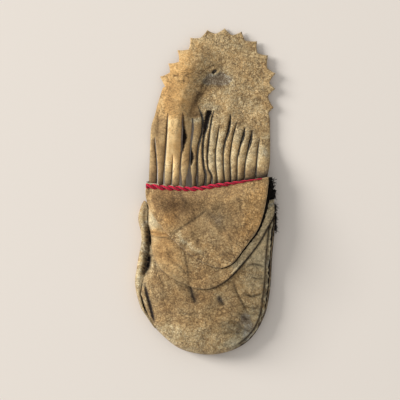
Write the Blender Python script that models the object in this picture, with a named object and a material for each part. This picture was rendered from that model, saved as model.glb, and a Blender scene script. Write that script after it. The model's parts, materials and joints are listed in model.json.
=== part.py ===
"""A soft hide shoe-pouch: a round-ended body of two hides, two turned-down flaps and a slit, saw-edged tab.

It lies on its back panel, with the toe of the body towards -Y, the tab towards +Y and the flaps on top, +Z.
The origin is on the surface that it lies on, under the middle of its bounding box. Lengths are in millimetres
in the tables below, and MM turns them into metres.
"""

import math

import bmesh
import bpy
from mathutils import Vector
from mathutils.geometry import delaunay_2d_cdt

MM = 0.001

# Driving dimensions
HIDE = 1.5  # thickness of the body's hide
FLAP = 1.3  # thickness of the turned-down flaps
TAB = 1.3  # thickness of the tab
WELT = 1.0  # thickness of the strip sewn into the side seam
LINING = 0.8  # thickness of the dark wool lining
SEWN_GAP = 0.3  # between pieces that a seam holds together
LAID_GAP = 0.8  # between pieces that only lie on each other
SEAM_Z = 4.5  # height of the seam lip's underside above the table
LIP = 3.5  # width of the flat lip at the seam
BACK_ROUND = 12.0  # the back rises to the lip over this width
FRONT_ROUND = 24.0  # the front rises from the lip to its crown over this width
CROWN_RISE = 11.0  # rise of the front's underside from lip to crown, at mid length
MOUTH_RISE = 6.4  # the same at the mouth
FOLD_Z = 7.5  # height of the back panel's underside at the fold
FOLD_RAMP = 18.0  # the back rises to the fold over this length
FOLD_LIFT = 10.8  # height of the outer flap's underside at the fold
FOLD_SLOPE = 0.0776  # the fold line climbs to the right
FOLD_MIDDLE_Y = 4.9
MOUTH_Y = -8.0  # the front panel's upper edge
ROLL_WIDTH = 2.6  # the back hide wraps over the left side by this much more in its middle than at its ends
ROLL_END = 2.9  # how far it wraps over towards its ends
EDGE_INSET = 0.6  # of the panels' edges where nothing wraps over
ROLL_BULGE = 1.6  # the wrapped edge stands this far above the front's edge
PLY_RADIUS = 0.65
THREAD_RADIUS = 0.45
GRID = 5.5  # spacing of the sheets' inner points
EDGE = 4.5  # spacing of the points along an outline

FRONT_BOTTOM = SEAM_Z + HIDE + WELT + 2 * SEWN_GAP

# The body's side, from the left end of the mouth round the toe to its right end
SILHOUETTE = (
    (-42.5, -5.0),
    (-46.3, -10.0),
    (-48.2, -19.0),
    (-46.6, -33.0),
    (-48.8, -47.0),
    (-50.5, -61.0),
    (-48.7, -74.0),
    (-43.5, -87.0),
    (-33.5, -99.5),
    (-19.0, -110.8),
    (0.0, -115.0),
    (17.0, -112.2),
    (31.0, -103.5),
    (40.5, -88.0),
    (44.6, -70.0),
    (46.4, -44.0),
    (48.4, -22.0),
    (47.6, -8.0),
)
ROLL_FROM = 1  # the silhouette points between which the wrapped edge is wide
ROLL_TO = 8
TOE_SEAM_X = 17.0  # the wrapped edge runs out at the toe, where the welted seam starts

# Edges below the roots of the two flaps, left to right
OUTER_FLAP_EDGE = (
    (-41.8, 0.4),
    (-39.7, -12.5),
    (-26.5, -30.8),
    (-8.0, -46.6),
    (8.5, -53.3),
    (21.5, -47.5),
    (32.6, -30.4),
    (39.8, -9.5),
    (42.8, 7.0),
)
UNDER_FLAP_EDGE = (
    (-39.8, -9.0),
    (-38.6, -26.0),
    (-36.8, -46.0),
    (-27.0, -59.0),
    (-11.0, -66.8),
    (4.5, -67.2),
    (17.0, -60.8),
    (28.5, -46.5),
    (40.0, -31.5),
    (45.9, -19.0),
    (46.2, -9.0),
)

# The tab: its side edges, and its hand-cut teeth as polar points about the crown's centre
TAB_LEFT = ((-40.6, 7.0), (-40.2, 30.0), (-38.8, 48.0), (-34.9, 62.2), (-32.0, 72.5))
TAB_RIGHT = ((44.0, 52.0), (44.7, 32.0), (44.0, 20.0), (43.0, 11.6))
CROWN_CENTRE = (7.8, 76.2)
TEETH = (  # angle and radius of the tip, then of the notch after it, in degrees and millimetres
    (172.6, 41.2, 166.0, 35.0),
    (157.4, 37.8, 149.0, 31.6),
    (140.0, 37.0, 130.0, 31.8),
    (120.9, 37.8, 111.0, 34.2),
    (101.2, 38.4, 92.5, 35.1),
    (83.1, 39.1, 74.2, 35.2),
    (65.8, 40.1, 58.1, 35.6),
    (47.8, 40.4, 38.6, 35.0),
    (29.8, 40.5, 19.0, 36.0),
    (10.4, 41.3, 2.0, 36.2),
    (-4.9, 40.6, -14.0, 36.2),
    (-23.0, 42.4, -30.0, 40.6),
)
SLITS = (  # x at the root, x half way, x at the top, y of the top, and the width half way
    (-34.9, -35.8, -36.4, 37.0, 0.9),
    (-30.1, -29.2, -27.6, 55.0, 1.0),
    (-24.8, -24.4, -24.0, 34.0, 0.8),
    (-18.9, -17.4, -17.1, 55.0, 2.2),
    (-12.2, -12.4, -11.2, 50.5, 2.2),
    (-6.4, -6.2, -3.2, 57.0, 1.0),
    (-1.3, -2.0, 1.0, 57.4, 2.2),
    (3.4, 2.4, 4.8, 56.0, 0.9),
    (8.0, 7.2, 9.4, 49.4, 0.9),
    (13.2, 13.0, 16.5, 53.3, 1.2),
    (17.6, 17.8, 21.2, 49.2, 0.9),
    (22.4, 23.2, 26.7, 46.1, 1.1),
    (27.6, 29.2, 32.4, 43.6, 1.2),
    (35.2, 36.0, 37.4, 37.1, 0.8),
)
FLAP_ROOT = -1.8  # the outer flap's root, above the fold line
TAB_ROOT = 3.6  # the tab's root, above the fold line
BACK_TOP = 2.7  # the back panel's top edge, above the fold line
LINING_PROUD = (2.6, 0.9)  # the flap's lining shows this much beyond its edge, at the root and at the tip
LINING_UNDER = 6.0  # and reaches this far under the flap
SLIT_ROOT = 1.7  # the slits stop this far above the tab's root
HOLE_CENTRE = (5.2, 85.0)
HOLE_HALF = (2.0, 1.0)
HOLE_ANGLE = math.radians(35)
RIDGE_HEIGHT = 4.5
RIDGE_WIDTH = 10.0
TAB_RAMP = 22.0  # the tab comes down to the table over this length

HIDE_COLOUR = (0.42, 0.27, 0.12)
DARK_HIDE_COLOUR = (0.30, 0.18, 0.08)
TAB_COLOUR = (0.48, 0.31, 0.14)
YARN_COLOUR = (0.50, 0.01, 0.04)
LINING_COLOUR = (0.012, 0.010, 0.009)
SINEW_COLOUR = (0.20, 0.13, 0.07)


def clamp(value):
    return max(0.0, min(1.0, value))


def smoothstep(value):
    value = clamp(value)
    return value * value * (3 - 2 * value)


def curve_through(points, spacing=EDGE):
    """Points along a Catmull-Rom curve through the given ones, about spacing apart."""
    points = [Vector(p) for p in points]
    padded = [2 * points[0] - points[1], *points, 2 * points[-1] - points[-2]]
    found = []
    for before, start, end, after in zip(padded, padded[1:], padded[2:], padded[3:]):
        steps = max(1, round((end - start).length / spacing))
        for i in range(steps):
            t = i / steps
            found.append(
                0.5
                * (
                    2 * start
                    + (end - before) * t
                    + (2 * before - 5 * start + 4 * end - after) * t * t
                    + (3 * start - before - 3 * end + after) * t**3
                )
            )
    return [*found, points[-1]]


SEAM = curve_through(SILHOUETTE)


def seam_distance(x, y):
    """How far a point is inside the body's side seam."""
    here = Vector((x, y))
    nearest = 1e9
    for start, end in zip(SEAM, SEAM[1:]):
        along = end - start
        share = clamp((here - start).dot(along) / along.length_squared)
        nearest = min(nearest, (start + along * share - here).length)
    return nearest


def roll_share(y):
    """1 along the middle of the wrapped left edge, falling to 0 at its ends."""
    top, bottom = SILHOUETTE[ROLL_FROM][1], SILHOUETTE[ROLL_TO][1]
    t = clamp((top - y) / (top - bottom))
    return smoothstep(min(t, 1 - t) / 0.22)


def left_share(x, y):
    return smoothstep((-12.0 - x) / 18.0) * roll_share(y)


def fold_y(x):
    return FOLD_MIDDLE_Y + FOLD_SLOPE * x


def lip_to_middle(x, y, width):
    return clamp((seam_distance(x, y) - LIP) / width)


def back_bottom(x, y):
    lifted = SEAM_Z * (1 - smoothstep(lip_to_middle(x, y, BACK_ROUND))) * (1 - left_share(x, y))
    fold = FOLD_Z * (1 - smoothstep((fold_y(x) - y) / FOLD_RAMP))
    return max(lifted, fold)


def front_bottom(x, y):
    rise = MOUTH_RISE + (CROWN_RISE - MOUTH_RISE) * smoothstep((MOUTH_Y - y) / 35.0)
    return FRONT_BOTTOM + rise * math.sin(math.pi / 2 * lip_to_middle(x, y, FRONT_ROUND))


def under_flap_bottom(x, y):
    return front_bottom(x, y) + HIDE + LAID_GAP


def outer_flap_bottom(x, y):
    resting = under_flap_bottom(x, min(y, MOUTH_Y)) + FLAP + LINING + 1.6 * LAID_GAP
    share = smoothstep((fold_y(x) - y) / (fold_y(x) - MOUTH_Y))
    return FOLD_LIFT + (resting - FOLD_LIFT) * share


def lining_bottom(x, y):
    return back_bottom(x, y) + HIDE + LAID_GAP


def tab_bottom(x, y):
    ramp = FOLD_Z * (1 - smoothstep((y - fold_y(x) - 3.0) / TAB_RAMP))
    crest = -23.0 + 0.25 * (y - 30.0)
    along = smoothstep((y - 34.0) / 16.0) * (1 - smoothstep((y - 72.0) / 28.0))
    return ramp + RIDGE_HEIGHT * along * math.exp(-(((x - crest) / RIDGE_WIDTH) ** 2))


def inside(x, y, loop):
    """Whether a point lies inside a closed loop."""
    within = False
    for a, b in zip(loop, [*loop[1:], loop[0]]):
        if (a[1] > y) != (b[1] > y) and x < a[0] + (y - a[1]) / (b[1] - a[1]) * (b[0] - a[0]):
            within = not within
    return within


def clear_of(x, y, loops, margin):
    return all((Vector((x, y)) - Vector(p)).length > margin for loop in loops for p in loop)


def grid_points(outline, holes, creases):
    """Points of one lattice, shared by every sheet, that are inside the outline and clear of its edges."""
    found = []
    rows = range(-25, 26)
    for j in rows:
        for i in rows:
            x = (i + 0.5 * (j % 2)) * GRID
            y = j * GRID * math.sqrt(0.75)
            if not inside(x, y, outline) or any(inside(x, y, hole) for hole in holes):
                continue
            if clear_of(x, y, [outline, *holes, *creases], 0.55 * GRID):
                found.append((x, y))
    return found


def material(name, colour, roughness):
    made = bpy.data.materials.new(name)
    made.use_nodes = True
    shader = made.node_tree.nodes["Principled BSDF"]
    shader.inputs["Base Color"].default_value = (*colour, 1.0)
    shader.inputs["Roughness"].default_value = roughness
    return made


def add(name, mesh_or_curve, surface):
    made = bpy.data.objects.new(name, mesh_or_curve)
    mesh_or_curve.materials.append(surface)
    bpy.context.scene.collection.objects.link(made)
    return made


def subdivided(loop):
    """The loop with its long sides cut into steps, so that they follow the sheet's height."""
    found = []
    for a, b in zip(loop, [*loop[1:], loop[0]]):
        a, b = Vector(a), Vector(b)
        steps = max(1, round((b - a).length / EDGE - 0.25))
        found += [tuple(a.lerp(b, i / steps)) for i in range(steps)]
    return found


def cut(outline, holes=(), creases=()):
    """Flat points and faces that fill an outline and follow its holes and creases."""
    loops = [subdivided(outline), *[[tuple(p) for p in hole] for hole in holes]]
    points = []
    edges = []
    for loop in loops:
        first = len(points)
        points += loop
        edges += [(first + i, first + (i + 1) % len(loop)) for i in range(len(loop))]
    for crease in creases:
        first = len(points)
        points += [tuple(p) for p in crease]
        edges += [(first + i, first + i + 1) for i in range(len(crease) - 1)]
    points += grid_points(loops[0], loops[1:], creases)
    flat, _, faces, *_ = delaunay_2d_cdt([Vector(p) for p in points], edges, [], 0, 1e-5)
    kept = []
    for face in faces:
        x = sum(flat[i].x for i in face) / len(face)
        y = sum(flat[i].y for i in face) / len(face)
        if inside(x, y, loops[0]) and not any(inside(x, y, hole) for hole in loops[1:]):
            kept.append(face)
    return flat, kept


def body(name, low, high, faces, surface):
    """A closed body between two matching sets of points: low is its underside and high its upper side."""
    count = len(low)
    sides = {(face[k - 1], face[k]) for face in faces for k in range(len(face))}
    rim = [(a, b, b + count, a + count) for a, b in sides if (b, a) not in sides]
    polygons = [tuple(reversed(face)) for face in faces]
    polygons += [tuple(i + count for i in face) for face in faces] + sorted(rim)
    used = sorted({i for polygon in polygons for i in polygon})
    number = {old: new for new, old in enumerate(used)}
    corners = [*low, *high]
    data = bpy.data.meshes.new(name)
    data.from_pydata(
        [Vector(corners[i]) * MM for i in used], [], [[number[i] for i in p] for p in polygons]
    )
    mesh = bmesh.new()
    mesh.from_mesh(data)
    bmesh.ops.triangulate(mesh, faces=mesh.faces[:])
    mesh.to_mesh(data)
    mesh.free()
    return add(name, data, surface)


def sheet(name, outline, bottom, thickness, surface, holes=(), creases=()):
    """A sheet cut to an outline, whose underside is at bottom(x, y)."""
    flat, faces = cut(outline, holes, creases)
    low = [(p.x, p.y, bottom(p.x, p.y)) for p in flat]
    high = [(x, y, z + thickness) for x, y, z in low]
    return body(name, low, high, faces, surface)


def strand(name, points, radius, surface, resolution=1):
    """A thread or yarn along points in millimetres."""
    curve = bpy.data.curves.new(name, "CURVE")
    curve.dimensions = "3D"
    curve.bevel_depth = radius * MM
    curve.bevel_resolution = resolution
    curve.use_fill_caps = True
    spline = curve.splines.new("POLY")
    spline.points.add(len(points) - 1)
    for target, point in zip(spline.points, points):
        target.co = (*(Vector(point) * MM), 1.0)
    return add(name, curve, surface)


def inward(points, i):
    """The unit normal of the seam curve at point i that points into the body."""
    along = points[min(i + 1, len(points) - 1)] - points[max(i - 1, 0)]
    return Vector((-along.y, along.x)).normalized()


def inset_seam(distance_at, keep=lambda p: True):
    """The seam curve moved into the body by distance_at(x, y) at each point."""
    return [
        p + inward(SEAM, i) * distance_at(p.x, p.y)
        for i, p in enumerate(SEAM)
        if keep(p)
    ]


def lip_line(top_y):
    """The inner edge of the flat lip."""
    return inset_seam(lambda x, y: LIP + panel_inset(x, y) - EDGE_INSET, lambda p: p.y < top_y)


def panel_inset(x, y):
    """How far inside the silhouette the flat part of the back panel ends."""
    narrow = (ROLL_END - EDGE_INSET) * smoothstep((TOE_SEAM_X - x) / 20.0) * smoothstep((-6.0 - y) / 8.0)
    return EDGE_INSET + narrow + (ROLL_WIDTH * roll_share(y) if x < 0 else 0.0)


def front_inset(x, y):
    """The same for the front panel, which stops short of the wrapped edge."""
    return panel_inset(x, y) + 0.5 * smoothstep((TOE_SEAM_X - x) / 20.0)


def back_panel():
    """The back hide. Its left edge wraps up and over to the front panel."""
    edge = inset_seam(panel_inset)
    top = [(x, fold_y(x) + BACK_TOP) for x in (42.8, 0.0, -41.0)]
    sides = [(44.6, 4.0), *top, (-41.4, -2.0)]
    flat, faces = cut([*edge, *sides], creases=[lip_line(-12.0)])
    low = [(p.x, p.y, back_bottom(p.x, p.y)) for p in flat]
    high = [(x, y, z + HIDE) for x, y, z in low]

    wrapped = [i for i, p in enumerate(SEAM) if p.x < TOE_SEAM_X and p.y <= -9.9]
    previous = [min(range(len(flat)), key=lambda j: (flat[j] - edge[i]).length) for i in wrapped]
    for angle in (-60, -35, -10, 15, 40, 62, 82):
        row = []
        for i in wrapped:
            start = edge[i]
            width = (start - SEAM[i]).length
            bottom = back_bottom(start.x, start.y)
            rise = FRONT_BOTTOM + HIDE + ROLL_BULGE * roll_share(start.y) - bottom
            row.append(len(low))
            for points, shrink in ((low, 0.0), (high, HIDE)):
                out = max(width - shrink, 0.2 * width) * math.cos(math.radians(angle))
                up = (rise / 2 - shrink) * math.sin(math.radians(angle))
                place = start - inward(SEAM, i) * out
                points.append((place.x, place.y, bottom + rise / 2 + up))
        for a, b, c, d in zip(previous, previous[1:], row[1:], row):
            faces.append((b, a, d, c))
        previous = row
    return body("back_panel", low, high, faces, hide)


def front_panel():
    edge = [p for p in inset_seam(front_inset) if p.y < MOUTH_Y - 1.0]
    mouth = [(46.6, MOUTH_Y), (32.0, MOUTH_Y), (11.0, MOUTH_Y), (-11.0, MOUTH_Y), (-32.0, MOUTH_Y)]
    outline = [*edge, *mouth, (edge[0].x, MOUTH_Y)]
    return sheet("front_panel", outline, front_bottom, HIDE, hide, creases=[lip_line(-12.0)])


def seam_side(low_y, high_y):
    """Indices of the seam curve's points down the right side."""
    return [i for i, p in enumerate(SEAM) if p.x > 5 and low_y <= p.y <= high_y]


def side_welt():
    places = seam_side(-112.5, MOUTH_Y - 3.0)
    outer = [SEAM[i] for i in places]
    inner = [SEAM[i] + inward(SEAM, i) * LIP for i in reversed(places)]
    level = SEAM_Z + HIDE + SEWN_GAP
    return sheet("side_welt", [*outer, *inner], lambda x, y: level, WELT, dark_hide)


def right_seam_thread():
    """Sinew that zigzags along the top of the lip on the right."""
    level = FRONT_BOTTOM + HIDE + THREAD_RADIUS + SEWN_GAP
    places = seam_side(-110.0, -36.0)
    points = []
    for step, i in enumerate(places):
        reach = 1.4 + 1.0 * (step % 2)
        place = SEAM[i] + inward(SEAM, i) * reach
        points.append((place.x, place.y, level))
    return strand("right_seam_thread", points, THREAD_RADIUS, sinew)


def left_seam_thread():
    """The gathering thread over the line where the wrapped edge meets the front panel."""
    points = []
    for i, p in enumerate(SEAM):
        if p.x > -30 or not -82.0 < p.y < -14.0:
            continue
        place = p + inward(SEAM, i) * (panel_inset(p.x, p.y) + 0.3 + 0.7 * (-1) ** i)
        under = max(FRONT_BOTTOM + ROLL_BULGE, front_bottom(place.x, place.y)) + HIDE
        points.append((place.x, place.y, under + THREAD_RADIUS + LAID_GAP))
    return strand("left_seam_thread", points, THREAD_RADIUS, sinew)


def mouth_lining():
    """The wool strip that lines the back of the mouth, with its frayed end out at the right."""
    outline = (
        (-38.5, -30.0),
        (38.5, -30.0),
        (42.0, -16.0),
        (43.0, -6.6),
        (47.0, -5.4),
        (49.6, -4.6),
        (48.6, -2.2),
        (50.5, 0.4),
        (47.6, 1.6),
        (48.4, 5.0),
        (45.8, 6.6),
        (44.2, 6.0),
        (43.0, 1.5),
        (30.0, fold_y(30.0) - 6.0),
        (-38.0, fold_y(-38.0) - 6.0),
        (-40.0, -10.0),
    )
    return sheet("mouth_lining", outline, lining_bottom, LINING, wool)


def flap_lining():
    """A wool strip under the outer flap's right-hand side, which shows beyond the flap's edge."""
    side = [p for p in curve_through(OUTER_FLAP_EDGE) if p.x > 11.0 and p.y < 1.5]
    outer = []
    inner = []
    for i, p in enumerate(side):
        proud = LINING_PROUD[1] + (LINING_PROUD[0] - LINING_PROUD[1]) * i / (len(side) - 1)
        outer.append(p - inward(side, i) * proud)
        inner.append(p + inward(side, i) * LINING_UNDER)
    level = lambda x, y: outer_flap_bottom(x, y) - LINING - 0.7 * LAID_GAP
    return sheet("flap_lining", [*outer, *reversed(inner)], level, LINING, wool)


def under_flap():
    return sheet("under_flap", curve_through(UNDER_FLAP_EDGE), under_flap_bottom, FLAP, hide)


def outer_flap():
    edge = curve_through(OUTER_FLAP_EDGE)
    root = [(x, fold_y(x) + FLAP_ROOT) for x in (42.8, -41.8)]
    return sheet("outer_flap", [*edge[1:-1], *root], outer_flap_bottom, FLAP, dark_hide)


def polar(angle, radius):
    turn = math.radians(angle)
    return (CROWN_CENTRE[0] + radius * math.cos(turn), CROWN_CENTRE[1] + radius * math.sin(turn))


def tab_outline():
    teeth = [polar(*point) for tooth in TEETH for point in (tooth[:2], tooth[2:])]
    root = [(x, fold_y(x) + TAB_ROOT) for x in (43.0, -40.6)]
    return [*curve_through(TAB_LEFT[1:]), *teeth, *curve_through(TAB_RIGHT[:-1]), *root]


def slit_loop(x_root, x_middle, x_top, y_top, width):
    """A slit that is open half way along and closes towards its ends."""
    y_root = fold_y(x_root) + TAB_ROOT + SLIT_ROOT
    line = curve_through(((x_root, y_root), (x_middle, (y_root + y_top) / 2), (x_top, y_top)), 7.0)
    count = len(line) - 1
    right = []
    left = []
    for i, p in enumerate(line):
        half = width / 2 * (0.5 + 0.5 * math.sin(math.pi * i / count))
        right.append((p.x + half, p.y))
        left.append((p.x - half, p.y))
    return [*right, *reversed(left)]


def hanging_hole():
    loop = []
    for k in range(10):
        angle = 2 * math.pi * k / 10
        across = HOLE_HALF[0] * math.cos(angle)
        up = HOLE_HALF[1] * math.sin(angle)
        x = HOLE_CENTRE[0] + across * math.cos(HOLE_ANGLE) - up * math.sin(HOLE_ANGLE)
        y = HOLE_CENTRE[1] + across * math.sin(HOLE_ANGLE) + up * math.cos(HOLE_ANGLE)
        loop.append((x, y))
    return loop


def fringe_tab():
    holes = [slit_loop(*slit) for slit in SLITS]
    return sheet("fringe_tab", tab_outline(), tab_bottom, TAB, tab_hide, [*holes, hanging_hole()])


def red_yarn(name, phase):
    """One of the two plies of the yarn that is sewn along the fold."""
    offset = PLY_RADIUS + SEWN_GAP / 2
    turns, steps = 7.5, 10
    left, right = -41.0, 41.5
    points = []
    count = round(turns * steps)
    for k in range(count + 1):
        x = left + (right - left) * k / count
        angle = 2 * math.pi * k / steps + phase
        y = fold_y(x) + 1.2 + offset * math.cos(angle)
        points.append((x, y, FOLD_LIFT + 0.4 + offset * math.sin(angle)))
    return strand(name, points, PLY_RADIUS, yarn)


for old in list(bpy.data.objects):
    bpy.data.objects.remove(old)

hide = material("hide", HIDE_COLOUR, 0.85)
dark_hide = material("dark_hide", DARK_HIDE_COLOUR, 0.88)
tab_hide = material("tab_hide", TAB_COLOUR, 0.85)
yarn = material("red_wool", YARN_COLOUR, 0.9)
wool = material("dark_wool", LINING_COLOUR, 0.95)
sinew = material("sinew", SINEW_COLOUR, 0.6)

back_panel()
front_panel()
side_welt()
mouth_lining()
right_seam_thread()
left_seam_thread()
under_flap()
outer_flap()
flap_lining()
fringe_tab()
red_yarn("red_yarn_ply_a", 0.0)
red_yarn("red_yarn_ply_b", math.pi)
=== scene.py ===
"""Looks of the hide pouch: worn smoked hide, sewn edges, cut strips, twisted yarn and frayed wool.

Lengths are millimetres in the row frame, and MM turns them into metres.
"""

import json
import math

import bpy
import numpy as np
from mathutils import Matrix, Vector
from mathutils.geometry import delaunay_2d_cdt


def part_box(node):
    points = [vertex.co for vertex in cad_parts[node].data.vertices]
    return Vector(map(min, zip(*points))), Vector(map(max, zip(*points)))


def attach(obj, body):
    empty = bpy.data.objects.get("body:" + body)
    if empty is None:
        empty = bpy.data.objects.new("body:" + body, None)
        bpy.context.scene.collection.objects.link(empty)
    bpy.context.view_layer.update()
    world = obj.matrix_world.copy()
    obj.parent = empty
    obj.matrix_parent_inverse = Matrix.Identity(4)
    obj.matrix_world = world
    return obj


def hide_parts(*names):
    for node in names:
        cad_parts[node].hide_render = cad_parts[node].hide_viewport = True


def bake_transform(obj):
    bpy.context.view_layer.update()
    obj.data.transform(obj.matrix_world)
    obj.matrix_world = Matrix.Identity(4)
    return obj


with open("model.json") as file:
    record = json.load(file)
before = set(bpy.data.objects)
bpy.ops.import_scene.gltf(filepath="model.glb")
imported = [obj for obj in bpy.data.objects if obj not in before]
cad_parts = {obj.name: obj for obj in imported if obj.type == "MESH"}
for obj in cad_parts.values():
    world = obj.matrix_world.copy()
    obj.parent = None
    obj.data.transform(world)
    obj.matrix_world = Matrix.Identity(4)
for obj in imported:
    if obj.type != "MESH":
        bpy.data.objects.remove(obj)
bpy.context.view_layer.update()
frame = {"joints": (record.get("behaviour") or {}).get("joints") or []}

MM = 0.001

# ---------------------------------------------------------------- sizes shared with the CAD

HIDE = 1.5
FLAP = 1.3
TAB = 1.3
WELT = 1.0
LINING = 0.8
SEAM_Z = 4.5
WELT_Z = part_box("side_welt")[0][2] / MM
FRONT_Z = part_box("front_panel")[0][2] / MM
FRONT_ROUND = 24.0
BACK_ROUND = 12.0
CROWN_RISE = 11.0
MOUTH_RISE = 6.4
FOLD_Z = 7.5
FOLD_RAMP = 18.0
FOLD_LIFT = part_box("outer_flap")[0][2] / MM - 0.1
YARN_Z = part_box("red_yarn_ply_a")[1][2] / MM + 0.3
MOUTH_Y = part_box("front_panel")[1][1] / MM
HINGE_SLOPE = 0.0776
HINGE_Y = 4.9
STITCH = 3.6
EDGE_ROUND = 0.14  # how far a cut edge is rounded and drawn in, as shares of its thickness
EDGE_IN = 0.16


def across_hinge(name, before, after):
    joint = next(j for j in frame["joints"] if j["name"] == name)
    (x, y, z), (along_x, along_y, _) = joint["pos_m"], joint["axis"]
    lean = along_y / along_x
    return [(x - lean * step * MM, y + step * MM, z) for step in (before, after)]


FLAP_BLEND = "outer_flap", across_hinge("outer_flap_lift", -2.5, -8.3)
CUFF_BLEND = "cuff", across_hinge("cuff_lift", 1.5, -4.0)
TAB_BLEND = "tab", across_hinge("tab_fold", -3.5, 4.5)

SILHOUETTE = (
    (-43.6, -5), (-46.6, -10), (-48.2, -19), (-46.6, -33), (-48.8, -47), (-50.5, -61),
    (-48.7, -74), (-43.5, -87), (-33.5, -99.5), (-19, -110.8), (0, -115), (17, -112.2),
    (31, -103.5), (40.5, -88), (44.6, -70), (46.4, -44), (48.4, -22), (47.6, -8),
)
FOLD = (
    (-45, 4.4), (-42.3, 4), (-29.6, 2.8), (-15.5, 1.9), (-5, 2.2), (5.6, 4.2), (19.8, 6.3),
    (33.9, 8.5), (45, 10.4),
)
ROLL = (  # y, and how far the back hide wraps over the left side there
    (-5.5, 2.4), (-8, 4.2), (-11, 5.6), (-15, 6.4), (-21, 6.8), (-28, 6), (-34, 5.6), (-41, 6.5),
    (-49, 7), (-59, 6.4), (-66, 4.6), (-72, 2.5), (-79, 2), (-86, 1.5), (-93, 0.9), (-99, 0.5),
)
OUTER_FLAP_EDGE = (
    (-43.4, 0.6), (-42.9, -4.4), (-40.8, -11.3), (-35.7, -19.8), (-28.9, -28.2), (-21.2, -36),
    (-10.9, -44.6), (-2, -50), (7.1, -53.3), (12.6, -52.6), (18.4, -49.4), (24.1, -42),
    (29.3, -35.1), (35.3, -26.6), (39.5, -15.5), (42.1, -2.7), (43.6, 8),
)
UNDER_FLAP_EDGE = (
    (-41.2, -8), (-41, -12), (-41, -17), (-41.2, -21), (-40.4, -26), (-39.4, -32),
    (-38.4, -43), (-33.5, -53), (-24, -60.5), (-12, -66.2), (-3.5, -68.2), (5, -67),
    (13.8, -61.8), (21.6, -54), (29.7, -44.5), (37, -35), (41.6, -26.8), (46, -19.3), (47.9, -12.8),
    (47.4, -8),
)
TAB_LEFT = ((-41, 7), (-40.6, 20), (-40.2, 32), (-39.4, 46), (-36.9, 54.1), (-34.9, 62.2))
TAB_RIGHT = ((44.4, 52), (44.6, 32), (44.1, 20), (42.4, 10.4))
CROWN_CENTRE = (7.8, 76.2)
TEETH = (
    (172.6, 41.2, 166.5, 34.8), (157.4, 37.8, 150.5, 31.4), (140, 37, 130, 31.6),
    (120.9, 37.5, 111, 34.4), (101.2, 38.2, 92.6, 35.1), (83.1, 39.1, 74.2, 35.3),
    (65.8, 40.1, 58.1, 35.8), (47.8, 40.4, 38.4, 35), (29.8, 40.4, 18.2, 36.3),
    (10.4, 41.2, 1.6, 36.2), (-4.9, 40.6, -13.9, 36.2), (-23, 42.6, -30, 41.2),
)
SLITS = (  # x, y and width down each slit
    ((-36.7, 38.5, 0.2), (-35.8, 27, 0.4), (-34.9, 16, 0.5), (-34.9, 5, 0.5)),
    ((-27.4, 55.5, 0.3), (-28.2, 42, 0.6), (-29.2, 28, 0.6), (-30.1, 16, 0.6), (-30.3, 4.6, 0.6)),
    ((-24, 26, 0.2), (-24.4, 15, 0.4), (-24.8, 4.2, 0.5)),
    ((-17.2, 56, 0.3), (-17.2, 46, 0.7), (-17.6, 38.2, 0.7), (-17.6, 32, 0.6), (-18.2, 25, 0.5),
     (-19, 16, 0.7), (-18.7, 11, 1.6), (-18.5, 3.6, 1.9)),
    ((-10.2, 52, 0.9), (-10, 45, 1.5), (-11, 36, 1.2), (-11.6, 29, 0.7), (-11.9, 22.5, 0.6),
     (-12.2, 18.5, 1.2), (-12.6, 10, 4), (-12.7, 3, 4.6)),
    ((-6.3, 60.5, 0.2), (-4.2, 55.6, 0.4), (-3, 51, 0.4), (-3.6, 41, 0.4), (-6, 32.6, 0.4),
     (-7, 24, 0.4), (-6.8, 14, 0.5), (-7.2, 9, 1.3), (-6.8, 3.4, 0.6)),
    ((3.6, 57.2, 0.4), (2.2, 54.6, 0.4), (1, 50.4, 0.4), (-0.2, 44.7, 0.4), (-2, 39.8, 0.4),
     (-3, 34, 0.4), (-3.2, 27, 0.4), (-2.2, 18, 0.5), (-0.7, 11.5, 0.6), (-1.6, 3.8, 0.5)),
    ((5, 57, 0.4), (3.4, 51.5, 0.4), (2.3, 44, 0.4), (1, 33, 0.4), (0.3, 25, 0.4),
     (0.9, 17, 0.4), (3.6, 11.3, 0.8), (3.2, 4.4, 0.5)),
    ((8.9, 46.7, 0.2), (7.2, 36, 0.4), (6.1, 28, 0.5), (6.5, 17, 0.5), (7.8, 5.4, 0.5)),
    ((16.8, 54.4, 0.3), (16.4, 48, 0.5), (15.2, 42, 0.5), (13, 35.6, 0.4), (11.6, 28, 0.5),
     (11.7, 16, 0.5), (12.6, 6, 0.5)),
    ((21, 49, 0.3), (19.3, 42, 0.4), (17.6, 34, 0.5), (16.4, 25, 0.4), (16.7, 14, 0.4),
     (17, 6.6, 0.5)),
    ((27, 46, 0.3), (25.8, 39, 0.5), (23.5, 31.6, 0.4), (21.6, 24, 0.5), (21.2, 8, 0.5)),
    ((32.2, 43.4, 0.3), (31, 36.5, 0.5), (28.8, 28, 0.4), (27.1, 20, 0.5), (26.2, 8.6, 0.5)),
    ((37.2, 38, 0.2), (36.3, 31, 0.4), (35.3, 22, 0.4), (34.2, 9.4, 0.5)),
)
SUNK = (  # x, y and half width down each place where a strip's edge turns under, out of the light
    ((-16.9, 54, 0.1), (-16.5, 46, 0.7), (-15.9, 38.5, 1.9), (-16.8, 33, 0.9), (-17.3, 27, 0.1)),
    ((-11.3, 31.5, 0.1), (-10.8, 27.5, 1.2), (-10.5, 23.5, 1.4), (-11.2, 19, 0.3)),
    ((1.8, 57.6, 1.7), (0.8, 54.6, 1.9), (-0.3, 50, 1.7), (-1.4, 44, 1.1), (-2.6, 38, 0.3)),
    ((16.6, 53.5, 0.1), (15.9, 48, 0.7), (14.7, 42, 0.8), (12.6, 36, 0.5), (11.4, 30, 0.1)),
    ((26.6, 45, 0.1), (25.4, 39, 0.9), (23.4, 33, 0.5), (22.2, 27, 0.1)),
    ((31.8, 42.5, 0.1), (30.6, 36, 1), (29, 30.5, 0.5), (27.8, 26, 0.1)),
)
TUCK = 2.3
HOLE_CENTRE = (5.2, 85)
HOLE_HALF = (1.2, 0.3)
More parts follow.
